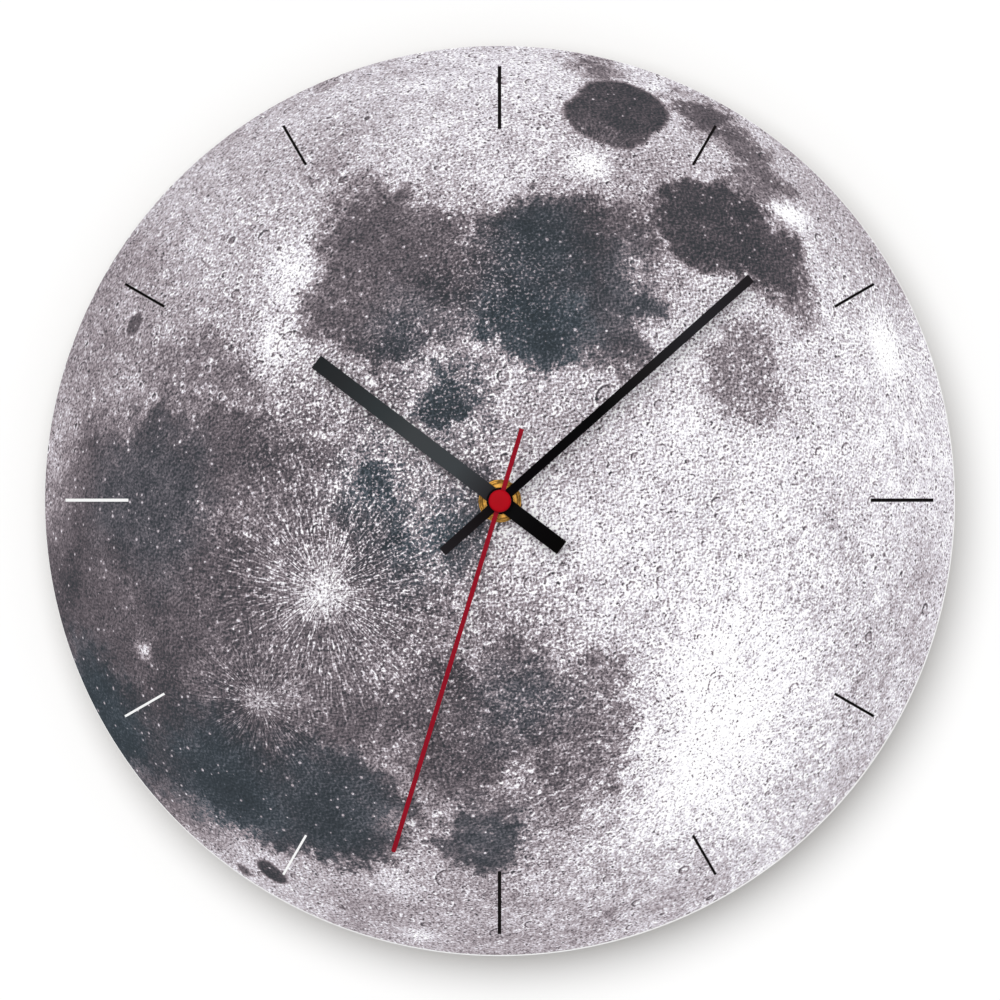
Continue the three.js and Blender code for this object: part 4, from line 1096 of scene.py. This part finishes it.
HAND_EDGE = 0.07 * MM
HUB_STEPS = 24
TIP_STEPS = 6

# Where each hand points on the dial in degrees, and its sizes in millimetres
HANDS = {
    "hour_hand": dict(angle=307.2, length=75.8, tail=25.5, width=5.2, tip=5.1, hub=8.8, bore=5.1),
    "minute_hand": dict(angle=48.4, length=110.3, tail=25.2, width=3.1, tip=3.1, hub=8.8, bore=3.4),
    "second_hand": dict(angle=196.9, length=120.5, tail=24.8, width=1.55, tip=1.55, hub=5.0, bore=2.1),
}
BLACK_TIP_ROUNDING = 0.12
RED_TIP_ROUNDING = 0.6

# Hand colours along the blade, with a painted sheen: the lighter stretches stand in for the light that
# the satin paint reflects. Millimetres from the hub, sRGB colour
HOUR_HAND_PAINTED_SHEEN = [
    (-25, (2, 1, 1)),
    (-14, (3, 2, 3)),
    (-4, (10, 10, 11)),
    (6, (44, 44, 47)),
    (18, (61, 65, 68)),
    (36, (61, 64, 66)),
    (48, (50, 55, 57)),
    (66, (40, 42, 44)),
    (75, (35, 38, 40)),
]
MINUTE_HAND_PAINTED_SHEEN = [
    (-25, (31, 28, 31)),
    (-8, (18, 14, 16)),
    (7, (4, 2, 4)),
    (44, (3, 3, 4)),
    (66, (26, 24, 25)),
    (86, (35, 34, 38)),
    (110, (30, 27, 30)),
]


def hand_outline(size, tip_rounding):
    """A straight blade through a round hub, pointing to twelve, in metres."""
    half, tip, hub = size["width"] / 2, size["tip"] / 2, size["hub"] / 2
    join = math.degrees(math.asin(half / hub))
    sweep = 180 - 2 * join
    right_side = [math.radians(join + sweep * step / HUB_STEPS) for step in range(HUB_STEPS + 1)]
    right = [(hub * math.sin(a), hub * math.cos(a)) for a in right_side]
    rounding = min(tip_rounding, tip)
    turn = [math.radians(90 * step / TIP_STEPS) for step in range(TIP_STEPS + 1)]
    top = [
        (tip - rounding + rounding * math.sin(a), size["length"] - rounding + rounding * math.cos(a))
        for a in turn
    ]
    half_outline = [*top, *right, (half, -size["tail"])]
    outline = half_outline + [(-x, z) for x, z in reversed(half_outline)]
    return [(x * MM, z * MM) for x, z in outline]


def hands():
    # The black hands' base colours carry a painted sheen along the blade.
    hour = sheen_painted_hand("hour_hand_black", HANDS["hour_hand"]["angle"], HOUR_HAND_PAINTED_SHEEN)
    minute = sheen_painted_hand("minute_hand_black", HANDS["minute_hand"]["angle"], MINUTE_HAND_PAINTED_SHEEN)
    red = paint("hand_red", HAND_RED, 0.4, 0.02)
    looks = {
        "hour_hand": (hour, "hand_black", BLACK_TIP_ROUNDING),
        "minute_hand": (minute, "hand_black", BLACK_TIP_ROUNDING),
        "second_hand": (red, "hand_red", RED_TIP_ROUNDING),
    }
    for node, (material, slot, rounding) in looks.items():
        low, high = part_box(node)
        size = HANDS[node]
        outline = turned_to(hand_outline(size, rounding), size["angle"])
        bm = plate([outline, circle(size["bore"] / 2 * MM)], high.y, low.y, HAND_EDGE)
        piece(node + "_blade", bm, material, node, [node], sharp=12.0)


# Cap over the hub

CAP_DOME = 0.12 * MM
CAP_EDGE = 0.75 * MM
CAP_CHAMFER = 0.1 * MM
CAP_BORE = 1.05 * MM
CAP_CLEARANCE = 0.05 * MM
CAP_EDGE_STEPS = 8
CAP_DOME_STEPS = 6


def cap():
    low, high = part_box("second_hand_cap")
    radius = high.x
    profile = [
        (CAP_BORE, high.y),
        (radius - CAP_CHAMFER, high.y),
        (radius, high.y - CAP_CHAMFER),
        *corner(radius - CAP_EDGE, low.y + CAP_DOME + CAP_EDGE, CAP_EDGE, 0, -80, CAP_EDGE_STEPS),
    ]
    top_radius, top = profile[-1]
    for step in range(1, CAP_DOME_STEPS):
        share = 1 - step / CAP_DOME_STEPS
        profile.append((top_radius * share, low.y + (top - low.y) * share**2))
    profile.append((0.0, low.y))
    inside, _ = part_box("second_hand_tube")
    floor = inside.y - CAP_CLEARANCE
    profile += [(0.0, floor), (CAP_BORE, floor)]
    red = paint("cap_red", CAP_RED, 0.42, 0.03)
    piece("red_cap", turned(profile), red, "second_hand", ["second_hand_cap"])


# Brass fixing and gasket

WASHER_GROOVE = (6.65 * MM, 6.50 * MM, 6.05 * MM, 5.90 * MM)
WASHER_GROOVE_DEPTH = 0.2 * MM
WASHER_EDGE = 0.2 * MM
GASKET_EDGE = 0.3 * MM
TOOL_MARKS = 0.4 * MM
NUT_FLATS = 11.0 * MM
NUT_MOUTH = 0.35 * MM
NUT_CHAMFER = 30
THREAD_PITCH = 0.75 * MM
THREAD_DEPTH = 0.4 * MM
THREAD_LEAD = 0.3 * MM
THREAD_STEPS = 8
BUSH_RADIUS = 4.0 * MM
FLANGE_RADIUS = 5.5 * MM
FLANGE_THICKNESS = 1.4 * MM


def hexagon(angle):
    """The distance from the axis to the nut's side, with flats at the top and the bottom."""
    sixth = math.pi / 3
    return NUT_FLATS / 2 / math.cos(angle % sixth - sixth / 2)


def hex_nut(brass):
    low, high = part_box("hex_nut")
    bore = bore_of("hex_nut")
    slope = math.tan(math.radians(NUT_CHAMFER))
    flats = NUT_FLATS / 2
    bm = lathe([
        lambda angle: (bore, high.y),
        lambda angle: (flats, high.y),
        lambda angle: (hexagon(angle), high.y - (hexagon(angle) - flats) * slope),
        lambda angle: (hexagon(angle), low.y + (hexagon(angle) - flats) * slope),
        lambda angle: (flats, low.y),
        lambda angle: (bore + NUT_MOUTH, low.y),
        lambda angle: (bore, low.y + NUT_MOUTH),
    ])
    piece("chamfered_nut", bm, brass, "clock", ["hex_nut"], sharp=20.0)


def threaded_bush(brass):
    low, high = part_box("threaded_bush")
    nut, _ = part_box("hex_nut")
    bore = bore_of("threaded_bush")
    neck = high.y - FLANGE_THICKNESS
    start = low.y + THREAD_LEAD
    run = nut.y + THREAD_PITCH - start
    count = math.ceil(run / THREAD_PITCH * THREAD_STEPS)
    heights = [start + run * step / count for step in range(count + 1)]

    def thread(angle, y):
        turn = (y / THREAD_PITCH + angle / (2 * math.pi)) % 1.0
        return BUSH_RADIUS - THREAD_DEPTH * abs(2 * turn - 1), y

    rings = [
        lambda angle: (bore, low.y),
        lambda angle: (BUSH_RADIUS - THREAD_DEPTH, low.y),
        *[lambda angle, y=y: thread(angle, y) for y in heights],
        lambda angle: (BUSH_RADIUS, heights[-1] + THREAD_LEAD),
        lambda angle: (BUSH_RADIUS, neck),
        lambda angle: (FLANGE_RADIUS, neck),
        lambda angle: (FLANGE_RADIUS, high.y),
        lambda angle: (bore, high.y),
    ]
    piece("threaded_sleeve", lathe(rings), brass, "clock", ["threaded_bush"])


def fixing():
    brass = turned_metal("brass", BRASS, 0.3, TOOL_MARKS)
    low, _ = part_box("brass_washer")
    ring = flat_ring("brass_washer", WASHER_EDGE)
    groove_floor = low.y + WASHER_GROOVE_DEPTH
    outer_lip, outer_floor, inner_floor, inner_lip = WASHER_GROOVE
    groove = [
        (outer_lip, low.y),
        (outer_floor, groove_floor),
        (inner_floor, groove_floor),
        (inner_lip, low.y),
    ]
    profile = [*ring[:-1], *groove, ring[-1]]
    piece("turned_washer", turned(profile), brass, "clock", ["brass_washer"])
    hex_nut(brass)
    threaded_bush(brass)
    ring = flat_ring("rubber_gasket", GASKET_EDGE)
    rubber = moulded("black_rubber", (26, 26, 27), 0.75, RUBBER_GRAIN)
    piece("gasket_ring", turned(ring), rubber, "clock", ["rubber_gasket"])


# Movement

CELL_EDGE = 0.9 * MM
CELL_CRIMP = 0.5 * MM
CELL_NUB = (2.75 * MM, 1.0 * MM)
CELL_END_DISC = 4.6 * MM
CELL_LIP_RISE = 0.1 * MM
CELL_NUB_EDGE = 0.25 * MM


def battery():
    """A dry cell along x, with its shrunk sleeve turned in over both steel ends."""
    low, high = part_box("aa_battery")
    radius = (high.z - low.z) / 2
    nub_radius, nub_length = CELL_NUB
    shoulder = high.x - nub_length
    lip = radius - CELL_EDGE
    profile = [
        (0.0, low.x),
        (CELL_END_DISC, low.x),
        (CELL_END_DISC + CELL_CRIMP, low.x + CELL_CRIMP),
        (lip - CELL_CRIMP, low.x + CELL_CRIMP),
        (lip, low.x + CELL_LIP_RISE),
        *corner(lip, low.x + CELL_EDGE, CELL_EDGE, -80, 0),
        *corner(lip, shoulder - CELL_EDGE, CELL_EDGE, 0, 80),
        (lip - CELL_CRIMP, shoulder - CELL_CRIMP),
        (nub_radius + CELL_CRIMP, shoulder - CELL_CRIMP),
        (nub_radius, shoulder),
        (nub_radius, high.x - CELL_NUB_EDGE),
        (nub_radius - CELL_NUB_EDGE, high.x),
        (0.0, high.x),
    ]
    bm = turned(profile)
    along_x = Matrix(((0, 1, 0), (1, 0, 0), (0, 0, -1)))
    bmesh.ops.transform(bm, matrix=along_x.to_4x4(), verts=bm.verts)
    middle = (low + high) / 2
    bmesh.ops.translate(bm, verts=bm.verts, vec=(0.0, middle.y, middle.z))
    piece("dry_cell", bm, cell_sleeve(low.x, high.x), "clock", ["aa_battery"])


# Marks moulded into the back of the movement

MARK_DEPTH = 0.5 * MM
MARK_EDGE = 0.05 * MM
MARK_OVERRUN = 0.5 * MM
PANEL_LOW = (-25.4 * MM, -7.6 * MM)
PANEL_HIGH = (25.4 * MM, 25.4 * MM)
PANEL_CORNER = 3.0 * MM
PANEL_GROOVE = 0.8 * MM
EJECTOR_RADIUS = 1.8 * MM
EJECTORS = [(-18 * MM, 18 * MM), (18 * MM, 18 * MM), (-18 * MM, -1 * MM)]
ARROW_RADII = (6.3 * MM, 7.1 * MM, 8.0 * MM, 8.8 * MM)
ARROW_SPAN = (100.0, 200.0, 218.0)
KNOB_SLOT = (7.0 * MM, 1.2 * MM)
KNOB_SLOT_DEPTH = 1.0 * MM
KNOB_SLOT_ROUNDING = 0.45
ARROW_STEPS = 12

# Edge roundings of the moulded and the bent pieces
CASE_EDGE = 0.2 * MM
KNOB_EDGE = 0.1 * MM
CONTACT_EDGE = 0.06 * MM


def stamp(outlines, back, depth=MARK_DEPTH):
    """A cutter that sinks outlines into a face that looks backward."""
    return plate(outlines, back + MARK_OVERRUN, back - depth, MARK_EDGE)


def arrow(centre):
    """A bent arrow round the knob, in the sense that sets the hands forward."""
    inner, low, high, outer = ARROW_RADII
    start, neck, tip = [math.radians(angle) for angle in ARROW_SPAN]
    bend = [start + (neck - start) * step / ARROW_STEPS for step in range(ARROW_STEPS + 1)]
    rim = [(high, a) for a in bend] + [(outer, neck), ((low + high) / 2, tip), (inner, neck)]
    rim += [(low, a) for a in reversed(bend)]
    return [(centre.x + r * math.cos(a), centre.z + r * math.sin(a)) for r, a in rim]


def rear_cover():
    """The snap-on cover with a grooved panel, ejector marks and the arrow for setting."""
    _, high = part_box("rear_cover")
    knob_low, knob_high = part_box("setting_knob")
    inset = PANEL_GROOVE
    low_in = (PANEL_LOW[0] + inset, PANEL_LOW[1] + inset)
    high_in = (PANEL_HIGH[0] - inset, PANEL_HIGH[1] - inset)
    groove = [
        rounded_box(PANEL_LOW, PANEL_HIGH, PANEL_CORNER),
        rounded_box(low_in, high_in, PANEL_CORNER - inset),
    ]
    marks = [groove, [arrow((knob_low + knob_high) / 2)]]
    marks += [[circle(EJECTOR_RADIUS, centre=spot)] for spot in EJECTORS]
    return carved(refined("rear_cover", CASE_EDGE), [stamp(mark, high.y) for mark in marks])


def setting_knob():
    """The ridged knob with a slot for a finger nail or a coin."""
    low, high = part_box("setting_knob")
    centre = (low + high) / 2
    length, width = KNOB_SLOT
    start = (centre.x - length / 2, centre.z - width / 2)
    end = (centre.x + length / 2, centre.z + width / 2)
    slot = stamp([rounded_box(start, end, KNOB_SLOT_ROUNDING * width)], high.y, KNOB_SLOT_DEPTH)
    return carved(refined("setting_knob", KNOB_EDGE), [slot])


def movement(finishes):
    looks = {
        "movement_case": (refined("movement_case", CASE_EDGE), "clock", "black_plastic"),
        "rear_cover": (rear_cover(), "clock", "black_plastic"),
        "setting_knob": (setting_knob(), "setting_knob", "black_plastic"),
        "positive_contact": (refined("positive_contact", CONTACT_EDGE), "clock", "steel"),
        "negative_contact": (refined("negative_contact", CONTACT_EDGE), "clock", "steel"),
    }
    for node, (bm, body, slot) in looks.items():
        piece(node + "_moulding", bm, finishes[slot], body, [node], sharp=20.0)
    battery()


def finish_kept_nodes(finishes):
    """Gives every CAD node that still shows the finish of its slot."""
    for part in frame["record"]["subparts"]:
        shown = nodes[part["node"]]
        if not shown.hide_render:
            shown.data.materials.clear()
            shown.data.materials.append(finishes[part["material_slot"]])


def inner_finishes():
    return {
        "black_plastic": moulded("black_plastic", (30, 30, 32), 0.5),
        "white_plastic": moulded("white_plastic", (214, 212, 204), 0.45),
        "brass": sheet_metal("inner_brass", BRASS, 0.3),
        "steel": sheet_metal("steel", STEEL, 0.3),
        "copper": winding(),
        "circuit_board": solder_mask(),
        "chip_resin": moulded("chip_resin", (18, 18, 18), 0.6),
        "magnet": sheet_metal("magnet", (72, 70, 70), 0.5),
    }


# Stage, light and camera

WHITE = (1.0, 1.0, 1.0, 1.0)
WALL_SIZE = 6.0
WALL_GAP = 0.2 * MM
AMBIENT = 0.40
SUN_STRENGTH = 2.08
SUN_ANGLE = 55.0
SUN_FROM = (-0.17, -1.0, 0.29)


def stage():
    bm = bmesh.new()
    bmesh.ops.create_grid(bm, x_segments=1, y_segments=1, size=WALL_SIZE / 2)
    bmesh.ops.rotate(bm, verts=bm.verts, matrix=Matrix.Rotation(math.radians(90), 3, "X"))
    bmesh.ops.translate(bm, verts=bm.verts, vec=(0.0, WALL_GAP, 0.0))
    mesh = mesh_of(bm, "wall")
    shader = Shader("white_wall")
    plaster = shader.node("BsdfDiffuse", {"Color": WHITE}).outputs[0]
    clear = shader.node("BsdfTransparent").outputs[0]
    behind = shader.node("NewGeometry").outputs["Backfacing"]
    seen = shader.node("MixShader", {0: behind, 1: plaster, 2: clear}).outputs[0]
    shader.node("OutputMaterial", {"Surface": seen})
    mesh.materials.append(shader.material)
    wall = add_object("wall", mesh)
    wall.visible_shadow = False
    wall.visible_diffuse = False
    wall.visible_glossy = False


def lights():
    shader = Shader("studio", bpy.data.worlds)
    scene.world = shader.material
    path = shader.node("LightPath").outputs
    seen = path["Is Camera Ray"]
    for ray in ("Is Glossy Ray", "Is Transmission Ray"):
        seen = shader.math("MAXIMUM", seen, path[ray])
    strength = shader.level(seen, 0.0, 1.0, AMBIENT, 1.0)
    background = shader.node("Background", {"Color": WHITE, "Strength": strength}).outputs[0]
    shader.node("OutputWorld", {"Surface": background})

    lamp = bpy.data.lights.new("softbox", "SUN")
    lamp.energy = SUN_STRENGTH
    lamp.angle = math.radians(SUN_ANGLE)
    sun = add_object("softbox", lamp)
    sun.rotation_mode = "QUATERNION"
    sun.rotation_quaternion = Vector(SUN_FROM).to_track_quat("Z", "Y")


def camera():
    low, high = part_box("printed_face")
    metres_per_pixel = high.x / PHOTO_DIAL_RADIUS
    view_width = PHOTO_SIZE * metres_per_pixel
    data = bpy.data.cameras.new("camera")
    data.sensor_width = SENSOR
    data.lens = SENSOR * CAMERA_DISTANCE / view_width
    data.clip_end = CAMERA_REACH
    made = add_object("camera", data)
    made.location = (
        (PHOTO_SIZE / 2 - PHOTO_DIAL_CENTRE[0]) * metres_per_pixel,
        low.y - CAMERA_DISTANCE,
        (PHOTO_DIAL_CENTRE[1] - PHOTO_SIZE / 2) * metres_per_pixel,
    )
    made.rotation_euler = (math.radians(90), 0.0, 0.0)
    scene.camera = made


camera()
lights()
stage()
dial()
hour_marks()
hands()
cap()
fixing()
finishes = inner_finishes()
movement(finishes)
finish_kept_nodes(finishes)
